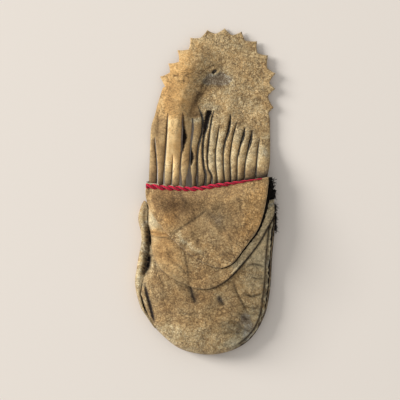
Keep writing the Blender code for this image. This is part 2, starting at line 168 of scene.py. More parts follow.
HOLE_TURN = (math.cos(math.radians(38)), math.sin(math.radians(38)))
CREST = ((5, -25), (30, -23.5), (50, -21.5), (65, -18.5), (82, -15.5), (100, -10))
VALLEY = ((5, -14), (47, -13), (56, -10.8), (65, -6.6), (75, -0.8), (87, 8), (100, 18))

# ---------------------------------------------------------------- creases and patches
# Each of the creases is its points, width, depth and darkness, which is painted shade in its hollow. A patch
# is x, y, its two half widths, its angle in degrees, how much lighter it is and how much warmer.

FRONT_CREASES = (
    (((17.2, -59), (20.5, -69.8), (24.8, -78), (30.8, -88.5)), 2, 1.1, 0.72),
    (((-13.6, -60), (-11.3, -67.7), (-9.6, -74), (-6.6, -80)), 2.4, 1.5, 0.90),
    (((20.5, -83), (24.5, -87), (30, -91)), 1.6, 0.8, 0.55),
    (((14, -90), (20, -91), (26, -96)), 1.4, 0.7, 0.50),
    (((10, -101), (16, -98.5), (22, -100.5)), 1.2, 0.6, 0.40),
    (((-30, -92), (-22, -90), (-14, -92)), 1.4, 0.5, 0.28),
    (((7.8, -72.6), (9.8, -76), (12.6, -80.5)), 1.8, 1.2, 0.70),
    (((1, -73), (3, -76), (5.5, -79)), 1.3, 0.5, 0.40),
    (((-20, -84.6), (-12, -85.6), (-4, -84.8)), 1.6, 0.5, 0.30),
    (((-47.2, -71), (-45.9, -77), (-43.6, -83.5), (-41.6, -88)), 2, 1.6, 1.5),
    (((-44.4, -62.5), (-42.2, -72), (-39.9, -80.5), (-36.6, -94.5)), 2.8, 3, 1.8),
    (((-45.5, -69), (-43.6, -78), (-40.8, -88)), 1.6, -0.9, 0),
    (((-38.5, -62), (-37.5, -70), (-35.5, -76)), 1.8, 0.7, 0.30),
    (((-36, -47), (-35.5, -54), (-33, -58.5)), 1.4, 0.8, 0.55),
    (((-38, -46), (-36.5, -52), (-36.5, -58)), 1.2, 0.7, 0.50),
    (((27, -52), (33, -50.6), (41.5, -53.2)), 1.7, 1.8, 0.75),
    (((25, -70.5), (31, -73.4), (39.6, -71)), 1.8, 2, 0.80),
    (((22, -82), (28, -80.5), (33, -82), (38, -79)), 1.6, 1.3, 0.55),
    (((30, -59), (35, -61), (41, -60.5)), 1.6, 1.2, 0.50),
    (((29, -66), (34, -66.5), (40, -64.5)), 2.6, -1.1, 0),
    (((28, -77), (33, -77.5), (38, -75)), 2.4, -1, 0),
    (((29, -86.5), (33, -86), (36.5, -84)), 1.4, 1.1, 0.50),
    (((18, -92.5), (23, -95), (28, -97.5), (31.5, -97.5)), 1.6, 1.2, 0.55),
    (((14, -95.5), (19, -97.5), (24.5, -100.5)), 1.6, 1.1, 0.50),
    (((20, -89), (24, -91.5), (29.5, -94)), 2.2, -1, 0),
    (((-34, -56), (-32.5, -62), (-29, -67.5)), 1.1, 0.7, 0.55),
    (((-24, -62), (-18, -66), (-14, -71)), 1.1, 0.5, 0.45),
    (((-20, -66), (-13.5, -67), (-9, -71)), 1, 0.4, 0.40),
    (((4, -69), (12, -71), (20, -77)), 1.8, 0.5, 0.20),
    (((2, -83), (14, -82), (24, -84)), 2, 0.5, 0.18),
    (((8, -96), (15, -92), (24, -94)), 1.6, 0.6, 0.28),
    (((-2, -101), (8, -99), (18, -99.5)), 1.8, 0.5, 0.15),
)
FRONT_PATCHES = (
    (18, -105.6, 3.6, 2.2, 35, 2.2, -0.30),
    (-10, -72, 2.4, 6.5, 25, -0.35, -0.8),
    (9.5, -76, 2.2, 3.5, 30, -0.30, -0.6),
    (27, -90.5, 6, 4.5, -40, -0.30, -1.4),
    (19.5, -96, 8, 5, 0, 0.12, -0.5),
    # the next two patches are painted light: they lighten the right side, which faces away from the lamp
    (33, -62, 9, 16, 10, 0.36, 0),
    (38, -42, 6.5, 12, 10, 0.72, -0.05),
    (32, -86, 7, 9, -25, 0.28, -0.1),
    (24, -102, 9, 5, 35, 0.20, -0.2),
    (0, -98, 28, 9, 0, 0.14, -0.15),
    (29, -47, 3, 3, 0, 0.40, -0.10),
    (-32, -68, 7, 10, 0, -0.18, -0.10),
    (-8, -74, 16, 7, 0, -0.16, 0.10),
    (0, -90, 22, 8, 0, -0.06, 0.15),
    (-24, -98, 9, 6, -35, 0.05, -0.35),
    (-29, -84, 9, 9, 0, -0.20, 0.15),
    (12, -77, 7, 4, 0, -0.14, -0.35),
)
CUFF_CREASES = (
    (((-42.5, -27.8), (-34, -28.6), (-24, -30.2)), 0.6, 0.3, 0.60),
    (((-42.5, -30.6), (-34, -31.6), (-27, -32.6), (-21, -35)), 0.6, 0.4, 0.70),
    (((-26.5, -31), (-17, -42), (-9, -52), (-6, -60), (-4.5, -66)), 1.8, 0.5, 0.20),
    (((-17, -38), (-15.2, -46), (-13.8, -54), (-12.5, -64)), 1.5, 0.6, 0.75),
    (((-24, -49), (-18, -53), (-13.5, -59)), 1.2, 0.4, 0.55),
    (((-31, -40), (-25, -46), (-22, -53)), 1.2, 0.4, 0.45),
    (((-34, -50), (-28, -54), (-22, -60)), 1.4, 0.4, 0.35),
    (((-14, -50), (-11, -58), (-12, -65)), 1.2, 0.35, 0.35),
    (((12, -54), (14.5, -58), (17.5, -61)), 1.6, 0.5, 0.35),
    (((33.5, -32), (36.5, -33.5), (38, -31)), 0.9, 0.4, 0.45),
    (((36, -26.5), (40, -27), (42, -25)), 1, 0.4, 0.35),
)
CUFF_PATCHES = (
    (-37, -20.5, 4.5, 7, 0, 0.78, -0.15),
    (-32.5, -30.2, 8.5, 1.2, -8, -0.30, 1.30),
    (-26, -44, 9, 9, 0, -0.20, 0.45),
    (-33, -38, 5, 8, 0, -0.16, 0.35),
    (-5, -58, 12, 6, -10, -0.22, 0.25),
    (-2, -64.5, 16, 3, 0, -0.28, -0.10),
    (15, -57, 5, 4, 40, -0.22, 0),
    (46.6, -8.2, 2.4, 1.2, 0, -0.75, -0.9),
    (43.5, -14, 3.5, 5, 0, 0.20, -0.35),
)
OUTER_CREASES = (
    (((-31, -34.4), (-18, -25), (-9, -19), (-2, -13.8), (4, -8.6)), 1.5, 1, 0.72),
    (((-18.5, 0.5), (-17, -5), (-12, -10.5)), 1.2, 0.35, 0.40),
    (((4, -8.6), (10, -18), (14, -30)), 3, 0.40, 0.15),
    (((20, -3), (24, -8), (22, -16)), 1.3, 0.30, 0.30),
    (((28, -6), (34, -10), (38, -9)), 1.1, 0.25, 0.30),
    (((14, -28), (18, -36), (16, -44)), 1.4, 0.30, 0.30),
    (((-4, -30), (4, -36), (8, -44)), 1.6, 0.30, 0.20),
    (((-33, -4), (-27, -6), (-22, -3.5)), 1.4, 0.30, 0.28),
    (((2, -2), (-2, -8), (-1, -13)), 1.3, 0.25, 0.25),
    (((30, -18), (34, -21), (36, -19)), 1.1, 0.25, 0.30),
)
OUTER_PATCHES = (
    (-27, -8, 12, 7, -15, -0.56, 0.05),
    (-12, -10, 10, 7, 20, -0.28, -0.10),
    (-27, -18, 7, 6, 0, 0.06, 0.80),
    (6, -13, 8, 6, 30, -0.26, -0.35),
    (8, -24, 10, 10, 0, -0.18, -0.60),
    (33, -1, 9, 8, 0, 0.14, 0.70),
    (34, -20, 6, 9, -25, 0.12, 1.10),
    (24, -32, 8, 8, 40, 0.06, 0.30),
    (-17.5, -32.5, 7, 3, -42, 0.48, -0.45),
    (-7, -41, 8, 2.5, -38, 0.34, -0.30),
    (7, -48.5, 8, 4, 0, 0.16, 0.10),
    (0, -32, 10, 7, -30, 0.14, 0),
    (-33, 0.5, 10, 2.5, -5, 0.20, 0.25),
    (-38.5, -9, 1.8, 8, 10, 0.25, 0.15),
    (9, -3, 8, 3, 10, 0.10, 0.05),
)
TAB_PATCHES = (
    (-18, 84, 9, 17, -22, 0.02, 0.95),
    (-22.5, 48, 6, 16, 0, 0.22, 1),
    (0, 106, 14, 7, 0, 0.30, 0.25),
    (-26.5, 64, 7, 11, -10, -0.24, 0.40),
    # painted shade: the bluish shadow in the dip below the hanging hole
    (6.5, 78.5, 8.5, 4, -5, -0.46, -2.8),
    (9, 87.5, 4.5, 4, 30, -0.22, -0.6),
    # the next two patches are painted shade along the foot of the ridge's steep side
    (-5.5, 67, 2.8, 9, -32, -0.62, -0.25),
    (-9, 57, 3.5, 4, 0, -0.34, -0.10),
    (26, 102, 9, 5, -30, -0.18, -0.60),
    (10, 101, 8, 6, 0, 0.06, 0.10),
    (-35, 47, 3.5, 9, 10, -0.40, -0.10),
    (-36.5, 28, 4, 16, 0, -0.26, 0.15),
    (-22.5, 24, 5.5, 15, 0, 0.16, 0.80),
    (22, 66, 16, 12, 0, 0.06, -0.10),
    (40, 60, 5, 14, 0, 0.02, 0.05),
    (30, 88, 11, 10, 0, -0.05, 0),
    (4, 59.5, 6, 2, 0, 0.30, -0.20),
    (41, 30, 4, 22, 0, -0.08, -0.35),
    (29, 22, 10, 5, 0, 0.16, -0.10),
    (36.5, 13, 6, 3, 0, -0.25, -0.45),
    (-7.2, 51, 2.8, 1.3, 0, 0.95, -0.20),
    (-7.6, 54.6, 3.4, 1.6, 0, -0.55, -0.20),
    (-14.5, 22, 2.4, 5, 0, -0.30, 0.25),
)
TAB_CREASES = (
    (((-17.4, 80.6), (-15, 82.2), (-12, 83)), 0.7, 0.1, 0.75),
    (((-16, 81.5), (-16.5, 78.6), (-16.2, 75.5)), 0.7, 0.1, 0.75),
    (((-35.5, 58), (-34.5, 50), (-35, 42), (-36, 36)), 1, 0.5, 0.55),
    (((3.4, 83.6), (-1, 78.5), (-5.5, 70), (-8.5, 61)), 2.2, 0.5, 0.45),
    (((6, 56.5), (9, 58.5), (14, 56)), 1.6, 0.5, 0.25),
    (((-0.5, 82), (-4, 74), (-7.5, 66), (-9.5, 60)), 1, 0.6, 0.60),
    (((4, 80), (-1, 73.5), (-4.5, 66), (-6, 61)), 1, 0.5, 0.50),
    (((1, 86), (4, 89.5), (9, 90.5)), 1, 0.3, 0.40),
    (((-9.5, 64), (-11.5, 58), (-12.5, 52)), 1, 0.4, 0.50),
)

# ---------------------------------------------------------------- small mathematics

TURN = 2 * math.pi
TILE = 128  # the noise repeats after this many bumps


def smooth(t):
    t = np.clip(t, 0.0, 1.0)
    return t * t * (3 - 2 * t)


def ramp(value, start, end):
    return smooth((value - start) / (end - start))


def bell(value, width):
    return np.exp(-((value / width) ** 2))


def near(gap, width):
    return np.exp(-gap / width)


def curve(points, spacing=None, steps=None):
    """Points along a Catmull-Rom curve, about spacing apart or steps to each stretch."""
    points = np.array(points, float)
    padded = np.vstack([2 * points[0] - points[1], points, 2 * points[-1] - points[-2]])
    found = []
    for before, start, end, after in zip(padded, padded[1:], padded[2:], padded[3:]):
        count = steps or max(1, round(np.linalg.norm((end - start)[:2]) / spacing))
        t = (np.arange(count) / count)[:, None]
        square = 2 * before - 5 * start + 4 * end - after
        cube = 3 * start - before - 3 * end + after
        found.append(0.5 * (2 * start + (end - before) * t + square * t**2 + cube * t**3))
    return np.vstack([*found, points[-1:]])


def place(x, y, line):
    """Each point's distance to a line, how far along the line that is, and the line's length."""
    best = np.full(np.shape(x), 1e9)
    along = np.zeros(np.shape(x))
    length = 0.0
    for (ax, ay), (bx, by) in zip(line[:-1], line[1:]):
        dx, dy = bx - ax, by - ay
        size = math.hypot(dx, dy)
        t = np.clip(((x - ax) * dx + (y - ay) * dy) / size**2, 0, 1)
        gap = np.hypot(x - ax - t * dx, y - ay - t * dy)
        nearer = gap < best
        best = np.where(nearer, gap, best)
        along = np.where(nearer, length + t * size, along)
        length += size
    return best, along, length


def noise(x, y, size, seed):
    """Smooth noise from -1 to 1 whose bumps are about size across."""
    table = np.random.default_rng(seed).uniform(-1, 1, (TILE, TILE))
    u, v = np.asarray(x) / size + 517.3, np.asarray(y) / size + 431.7
    i, j = np.floor(u).astype(int), np.floor(v).astype(int)
    fu, fv = smooth(u - i), smooth(v - j)
    i, j, i1, j1 = i % TILE, j % TILE, (i + 1) % TILE, (j + 1) % TILE
    low = table[i, j] * (1 - fu) + table[i1, j] * fu
    high = table[i, j1] * (1 - fu) + table[i1, j1] * fu
    return low * (1 - fv) + high * fv


def rumple(x, y, size, seed, octaves=3):
    return sum(noise(x, y, size / 2**k, seed + k) / 2**k for k in range(octaves))


def creased(x, y, creases):
    """The height, and the painted shade in the hollows, that a list of creases gives each point."""
    height = np.zeros(np.shape(x))
    dark = np.zeros(np.shape(x))
    for points, width, depth, darkness in creases:
        gap, along, length = place(x, y, curve(points, 3))
        share = along / length
        fade = smooth(share / 0.25) * smooth((1 - share) / 0.25)
        height -= depth * fade * near(gap, width)
        narrow = 0.25 + 0.30 * width * (0.3 + 0.7 * fade)
        dark = np.maximum(dark, darkness * fade * bell(gap, narrow))
    return height, dark


def patched(x, y, patches):
    """The lightness and the warmth that a list of patches gives each point."""
    tone = np.zeros(np.shape(x))
    warm = np.zeros(np.shape(x))
    wobble_x = x + 2.2 * noise(x, y, 7, 91)
    wobble_y = y + 2.2 * noise(x, y, 7, 92)
    for cx, cy, rx, ry, angle, lighter, warmer in patches:
        turn = math.radians(angle)
        u = (wobble_x - cx) * math.cos(turn) + (wobble_y - cy) * math.sin(turn)
        v = (wobble_y - cy) * math.cos(turn) - (wobble_x - cx) * math.sin(turn)
        share = np.exp(-((u / rx) ** 2) - (v / ry) ** 2)
        tone += lighter * share
        warm += warmer * share
    return tone, warm


def inside(x, y, loop):
    within = np.zeros(np.shape(x), bool)
    for (ax, ay), (bx, by) in zip(loop, np.roll(loop, -1, axis=0)):
        if ay != by:
            within ^= ((ay > y) != (by > y)) & (x < ax + (y - ay) / (by - ay) * (bx - ax))
    return within


# ---------------------------------------------------------------- heights of the sheets

SEAM = curve(SILHOUETTE, 1.1)
SEAM_ALONG = np.vstack([SEAM[1] - SEAM[0], SEAM[2:] - SEAM[:-2], SEAM[-1] - SEAM[-2]])
SEAM_IN = np.column_stack([-SEAM_ALONG[:, 1], SEAM_ALONG[:, 0]])
SEAM_IN /= np.linalg.norm(SEAM_IN, axis=1)[:, None]
FOLD_LINE = curve(FOLD, 2)
OUTER_LINE = curve(OUTER_FLAP_EDGE, 1.2)
OUTER_RIGHT = OUTER_LINE[OUTER_LINE[:, 0] > 8]
UNDER_LINE = curve(UNDER_FLAP_EDGE, 1.2)


def fold_y(x):
    """The yarn's line."""
    return np.interp(x, FOLD_LINE[:, 0], FOLD_LINE[:, 1])


def rightness(x):
    return ramp(x, 12, 26)


def leftness(x, y):
    return ramp(-x, 14, 30) * ramp(-y, 8, 18) * (1 - ramp(-y, 72, 94))


def roll_width(y):
    table = np.array(ROLL)
    return np.interp(-np.asarray(y), -table[:, 0], table[:, 1])


def seam_line(y):
    """How far inside the front's right-hand edge the stitching draws it down."""
    return 1.5 + 0.9 * ramp(np.asarray(y), -94, -74)


def front_inset(x, y):
    """How far inside the silhouette the front's edge is."""
    tucked = np.minimum(TUCK * (1 - pocket(y)), roll_width(y) - 0.4)
    left = np.where(np.asarray(x) < 0, roll_width(y) - tucked * leftness(x, y), 0.5)
    return left * (1 - rightness(x)) + (seam_line(y) - 0.1) * rightness(x)


def gathers(along):
    """The puckers of the gathered left seam, from -1 to 1."""
    waves = np.sin(along * TURN / 5.6 + 1.9 * np.sin(along / 7.3))
    return waves * (0.55 + 0.45 * np.sin(along / 5.3))


def pocket(y):
    """Where the left seam is drawn down into deep pockets, and not flush with the front."""
    first = ramp(-y, 22, 28) * (1 - ramp(-y, 35, 40))
    neck = 0.5 * ramp(-y, 32, 37) * (1 - ramp(-y, 43, 48))
    return np.maximum(first + ramp(-y, 41, 46) * (1 - ramp(-y, 53, 61)), neck)


def back_low(x, y):
    gap = place(x, y, SEAM)[0]
    lip = SEAM_Z - 1.7 * (1 - rightness(x)) * (1 - leftness(x, y))
    lifted = lip * (1 - smooth((gap - 3) / BACK_ROUND)) * (1 - leftness(x, y))
    fold = FOLD_Z * (1 - smooth((HINGE_Y + HINGE_SLOPE * x - y) / FOLD_RAMP))
    fold = fold + 1.6 * ramp(y - fold_y(x), -4, -0.5) * (1 - ramp(x, 37, 41))
    return np.maximum(lifted, fold)


def front_low(x, y):
    gap, along, _ = place(x, y, SEAM)
    right, left = rightness(x), leftness(x, y)
    gap = np.maximum(gap - front_inset(x, y), 0)
    deep = pocket(y)
    edge = 5 + 2.6 * right + left * (2.6 - 1.6 * deep)
    tucked = np.minimum(TUCK - 0.25, roll_width(y)) * (1 - deep)
    start = 1.6 * right + left * (tucked + 1.9 * deep)
    t = np.clip((gap - start) / (FRONT_ROUND + 6 * (1 - right) * (1 - left)), 0, 1)
    profile = np.sqrt(1 - (1 - t) ** 2) * (1 - right) + np.sin(np.pi / 2 * t) * right
    crown = FRONT_Z + MOUTH_RISE + (CROWN_RISE - MOUTH_RISE) * ramp(MOUTH_Y - y, 0, 35)
    z = edge + (crown - edge) * profile
    folds = 0.9 * gathers(along) * near(gap, 6) * ramp(gap, 2, 4)
    z += left * (folds * (0.4 + 0.9 * deep) + 0.6 * bell(gap - 5, 2.5))
    pucker = np.sin(along * TURN / STITCH) * bell(gap - 1.4, 1.6)
    gather = rumple(along, gap * 0.25, 6, 31) * bell(gap - 6, 6)
    z += right * (0.22 * pucker + 0.9 * gather * ramp(-y, 30, 45))
    z -= right * 0.55 * bell(gap - seam_line(y), 0.7)
    z += ramp(gap, 1, 9) * (0.9 * rumple(x, y, 24, 11) + 0.35 * rumple(x * 1.3, y, 8, 21))
    return z + creased(x, y, FRONT_CREASES)[0] * ramp(gap, 0, 1.5)


def cuff_low(x, y):
    gap = place(x, y, UNDER_LINE)[0]
    lifted = 0.25 + 0.5 * near(gap, 2) * ramp(x, 0, 20) + 0.2 * (1 + rumple(x, y, 12, 41))
    return front_low(x, y) + HIDE + lifted + np.maximum(creased(x, y, CUFF_CREASES)[0], -0.3)


def outer_low(x, y):
    waves = 0.75 * (1 + rumple(x, y, 20, 51, 2)) + 0.3 * (1 + rumple(x, y, 7, 61, 2))
    rise = 0.4 + waves * ramp(place(x, y, OUTER_LINE)[0], 0, 9)
    rise = rise + 2.4 * bell(place(x, y, OUTER_RIGHT)[0], 7) * ramp(x, 8, 34)
    resting = cuff_low(x, np.minimum(y, MOUTH_Y)) + FLAP + rise
    resting = resting + np.maximum(creased(x, y, OUTER_CREASES)[0], -0.5)
    fold = fold_y(x) + 1.5
    return FOLD_LIFT + (resting - FOLD_LIFT) * smooth((fold - y) / (fold - MOUTH_Y))


def down(points, y, column, **beyond):
    """One column of a table of points that is ordered downwards, read at each y."""
    table = np.array(points)[::-1]
    return np.interp(y, table[:, 1], table[:, column], **beyond)


def strip_place(x, y):
    """A tab point's strip, its place across that from -1 to 1, how loose it is, how free the nearer cut
    leaves it, and how free the strip is on both sides."""
    sides = [np.full(np.shape(x), end) for end in (-40.4, 44.5)]
    lines = np.array([sides[0], *[down(s, y, 0) for s in SLITS], sides[1]])
    tops = [45, *[s[0][1] for s in SLITS], 40]
    number = (x >= lines[1:-1]).cumprod(axis=0).sum(axis=0)
    spots = np.arange(len(x))
    left, right = lines[number, spots], lines[number + 1, spots]
    across = np.clip((2 * x - left - right) / (right - left + 1e-6), -1, 1)
    free = np.array([smooth((top - y) / 7) for top in tops])
    best = np.maximum.reduce([free, np.vstack([free[:1], free[:-1]]), np.vstack([free[1:], free[-1:]])])
    share = smooth((across + 1) / 2)
    loose = best[number, spots] * (1 - share) + best[number + 1, spots] * share
    cut_free = np.where(across > 0, free[number + 1, spots], free[number, spots])
    return number, across, loose, cut_free, free[number, spots] * free[number + 1, spots]


def for_strips(seed, low, high):
    return np.random.default_rng(seed).uniform(low, high, len(SLITS) + 1)


STRIP_LIFT = for_strips(8, -0.5, 0.9)
STRIP_TURN = for_strips(9, -0.5, 0.5)
STRIP_TONE = for_strips(12, -0.14, 0.12) + 0.13
STRIP_TONE[:8] = (-0.26, -0.22, 0.02, 0.04, -0.02, -0.10, -0.14, 0.04)
STRIP_TURN[[2, 3, 5, 6]] = (-0.1, -0.2, -0.6, 0.7)


def sunk(x, y):
    """How far a point of the tab is inside one of the turned-under places."""
    share = np.zeros(np.shape(x))
    for points in SUNK:
        half = down(points, y, 2, left=0.0, right=0.0)
        gap = np.abs(x - down(points, y, 0))
        share = np.maximum(share, smooth((half + 0.35 - gap) / 0.7) * (half > 0.02))
    return share


def tab_low(x, y):
    crest, valley = (np.interp(y, *zip(*line)) for line in (CREST, VALLEY))
    left = smooth((x - crest + 24) / 24)
    middle = 0.06 + 0.94 * (1 - smooth((x - crest) / (valley - crest)))
    right = 0.06 + 0.30 * smooth((x - valley) / 26)
    shape = np.where(x < crest, left, np.where(x < valley, middle, right))
    height = 1.2 + 6 * ramp(y, 12, 48) * (1 - 0.9 * ramp(y, 84, 110))
    beyond = y - fold_y(x)
    z = np.maximum(height * shape, 0) + 8.4 * (1 - smooth((beyond - 1) / 24))
    number, across, loose, cut_free, own = strip_place(x, y)
    z += 2.05 * loose - 1.25 * cut_free * across**2 - near(np.clip(beyond, 0, 99), 3)
    z += own * (STRIP_TURN[number] + 0.4 * noise(y, number * 9, 16, 71)) * across
    z += own * (STRIP_LIFT[number] * 0.7 + 0.5 * noise(y, number * 9, 14, 72))
    z += (1 - loose) * (0.5 * (1 + rumple(x, y, 16, 81)) + 0.25 * (1 + rumple(x, y, 5, 82, 2)))
    out = np.hypot(x - CROWN_CENTRE[0], y - CROWN_CENTRE[1])
    z += (0.5 + 0.8 * noise(x, y, 8, 83)) * ramp(out, 30, 40) * ramp(y, 50, 60)
    z += 1.1 * bell(np.hypot(x - HOLE_CENTRE[0], y - HOLE_CENTRE[1]) - 2.2, 0.9)
    z += creased(x, y, TAB_CREASES)[0]
    return np.maximum(z * (1 - 0.75 * sunk(x, y)), 0.02)


# ---------------------------------------------------------------- meshes

SPACING = {  # between the points of each sheet
    "back_hide": 2.2, "welt": 0.6, "front_hide": 0.85, "mouth_wool": 1.3, "cuff_hide": 1.05,
    "flap_wool": 0.9, "flap_hide": 1, "tab_hide": 0.95,
}
UNDERSIDE = (0, 0, 40)  # where the underside's grain is read, far from the face's
CUT_EDGE = (0, 0, 3)


def cut(outline, spacing, holes=()):
    """Flat points and triangles that fill an outline but not its holes."""
    loops = [np.array(loop, float)[:, :2] for loop in (outline, *holes)]

    def fills(x, y):
        holed = [inside(x, y, hole) for hole in loops[1:]]
        return inside(x, y, loops[0]) & ~np.any([np.zeros(len(x), bool), *holed], axis=0)

    low, high = loops[0].min(axis=0), loops[0].max(axis=0)
    rows = np.arange(low[1], high[1], spacing * math.sqrt(0.75))
    columns = np.arange(low[0] - spacing, high[0] + spacing, spacing)
    x = (columns[None, :] + 0.5 * spacing * (np.arange(len(rows)) % 2)[:, None]).ravel()
    y = np.repeat(rows, len(columns))
    keep = fills(x, y)
    for loop in loops:
        keep &= place(x, y, np.vstack([loop, loop[:1]]))[0] > 0.5 * spacing
    points, edges = [], []
    for loop in loops:
        first, count = len(points), len(loop)
        points += [Vector(p) for p in loop]
        edges += [(first + i, first + (i + 1) % count) for i in range(count)]
    points += [Vector(p) for p in zip(x[keep], y[keep])]
    flat, _, faces, *_ = delaunay_2d_cdt(points, edges, [], 0, 1e-5)
    flat = np.array(flat)
    faces = np.array([f for f in faces if len(f) == 3])
    return flat, faces[fills(*flat[faces].mean(axis=1).T)]


def unit(vectors):
    return vectors / np.maximum(np.linalg.norm(vectors, axis=1), 1e-9)[:, None]


def join_rows(flat, low, high, faces, first_row, rows, flip):
    """Adds rows of points beyond one edge of a sheet. A row is its low, high and flat points."""
    low, high, spread = (np.vstack([start, *more]) for start, more in zip((low, high, flat), zip(*rows)))
    faces = [tuple(f) for f in faces]
    numbers = [first_row, *np.arange(len(flat), len(low)).reshape(-1, len(first_row))]
    for before, after in zip(numbers, numbers[1:]):
        for a, b, c, d in zip(before, before[1:], after[1:], after):
            faces.append((b, a, d, c) if flip else (a, b, c, d))
    return low, high, faces, spread


def put_values(data, name, values, kind="FLOAT"):
    key = "value" if kind == "FLOAT" else "vector"
    data.attributes.new(name, kind, "POINT").data.foreach_set(key, np.asarray(values, np.float32).ravel())


def put_object(name, data):
    made = bpy.data.objects.new(name, data)
    bpy.context.scene.collection.objects.link(made)
    return made


def hide_body(name, low, high, faces, paint, material, spread=None):
    """A closed sheet between two sets of points, with rounded cut edges. paint says how each point looks."""
    used = np.zeros(len(low), bool)
    used[[i for f in faces for i in f]] = True
    number = np.cumsum(used) - 1
    faces = [tuple(int(i) for i in number[list(f)]) for f in faces]
    spread = (low[:, :2] if spread is None else spread)[used]
    low, high = low[used], high[used]
    paint = {"pale": np.full(len(used), 0.25), "busy": np.ones(len(used)), **paint}
    paint = {key: value[used] for key, value in paint.items()}
    sides = {(f[k - 1], f[k]) for f in faces for k in range(len(f))}
    rim = np.array(sorted((a, b) for a, b in sides if (b, a) not in sides))
    through = high - low
    thick = np.linalg.norm(through, axis=1)[:, None]
    along = np.zeros_like(low)
    step = unit(((low + high)[rim[:, 1]] - (low + high)[rim[:, 0]]) / 2)
    for end in (0, 1):
        np.add.at(along, rim[:, end], step)
    edge = np.unique(rim)
    pulled_in = EDGE_IN * thick[edge] * unit(np.cross(along[edge], through[edge]))
    middle = (low[edge] + high[edge]) / 2
    low[edge] += EDGE_ROUND * through[edge] - pulled_in
    high[edge] -= EDGE_ROUND * through[edge] + pulled_in
    count = len(low)
    ring = {int(v): 2 * count + k for k, v in enumerate(edge)}
    polygons = [tuple(reversed(f)) for f in faces] + [tuple(i + count for i in f) for f in faces]
    for a, b in rim.tolist():
        polygons += [(a, b, ring[b], ring[a]), (ring[a], ring[b], b + count, a + count)]
    data = bpy.data.meshes.new(name)
    data.from_pydata(np.vstack([low, high, middle]) * MM, [], polygons)
    data.validate()
    data.shade_smooth()
    pale = paint.pop("pale")[edge]
    at_edge = np.zeros(count)
    at_edge[edge] = 0.5 * pale
    put_values(data, "edge", np.concatenate([at_edge, at_edge, pale]))
    for key, value in paint.items():
        put_values(data, key, np.concatenate([value, value, value[edge]]))
    flat = np.column_stack([spread, np.zeros(count)])
    spots = np.vstack([flat + UNDERSIDE, flat, flat[edge] + CUT_EDGE])
    put_values(data, "spread", spots, "FLOAT_VECTOR")
    data.materials.append(material)
    return put_object(name, data)


def sheet(name, outline, low_at, thickness, paint_at, material, holes=()):
    """A sheet cut to an outline, with its underside at low_at(x, y)."""
    flat, faces = cut(outline, SPACING[name], holes)
    x, y = flat.T
    low = np.column_stack([x, y, low_at(x, y)])
    made = hide_body(name, low, low + (0, 0, thickness), faces, paint_at(x, y), material)
    return made


def tubes(name, paths, radii, material, sides):
    """Round strands along paths of 3-D points. A radius is a number or one for each point."""
    points, polygons, turns, runs = [], [], [], []
    angle = TURN * np.arange(sides)[:, None] / sides
    first = 0
    for path, radius in zip(paths, radii):
        path = np.array(path, float)
        count = len(path)
        tangent = unit(np.gradient(path, axis=0))
        side = unit(np.cross(tangent, (0.02, 0.05, 1)))
        up = np.cross(side, tangent)
        radius = np.broadcast_to(radius, count)[:, None, None]
        around = np.cos(angle) * side[:, None] + np.sin(angle) * up[:, None]
        points.append((path[:, None] + radius * around).reshape(-1, 3))
        run = np.concatenate([[0], np.cumsum(np.linalg.norm(np.diff(path, axis=0), axis=1))])
        runs.append(np.repeat(run, sides))
        turns.append(np.tile(np.arange(sides) / sides, count))
        rings = [[first + k * sides + s for s in range(sides)] for k in range(count)]
        for low, high in zip(rings, rings[1:]):
            polygons += zip(low, low[1:] + low[:1], high[1:] + high[:1], high)
        polygons += [rings[0][::-1], rings[-1]]
        first += count * sides
    data = bpy.data.meshes.new(name)
    data.from_pydata(np.vstack(points) * MM, [], polygons)
    data.shade_smooth()
    put_values(data, "turn", np.concatenate(turns))
    put_values(data, "run", np.concatenate(runs))
    data.materials.append(material)
    return put_object(name, data)


# ---------------------------------------------------------------- materials


def linear(*rgb):
    """A colour from 0 to 255 as Blender's linear colour."""
    return (*[((c / 255 + 0.055) / 1.055) ** 2.4 if c > 10 else c / 255 / 12.92 for c in rgb], 1)


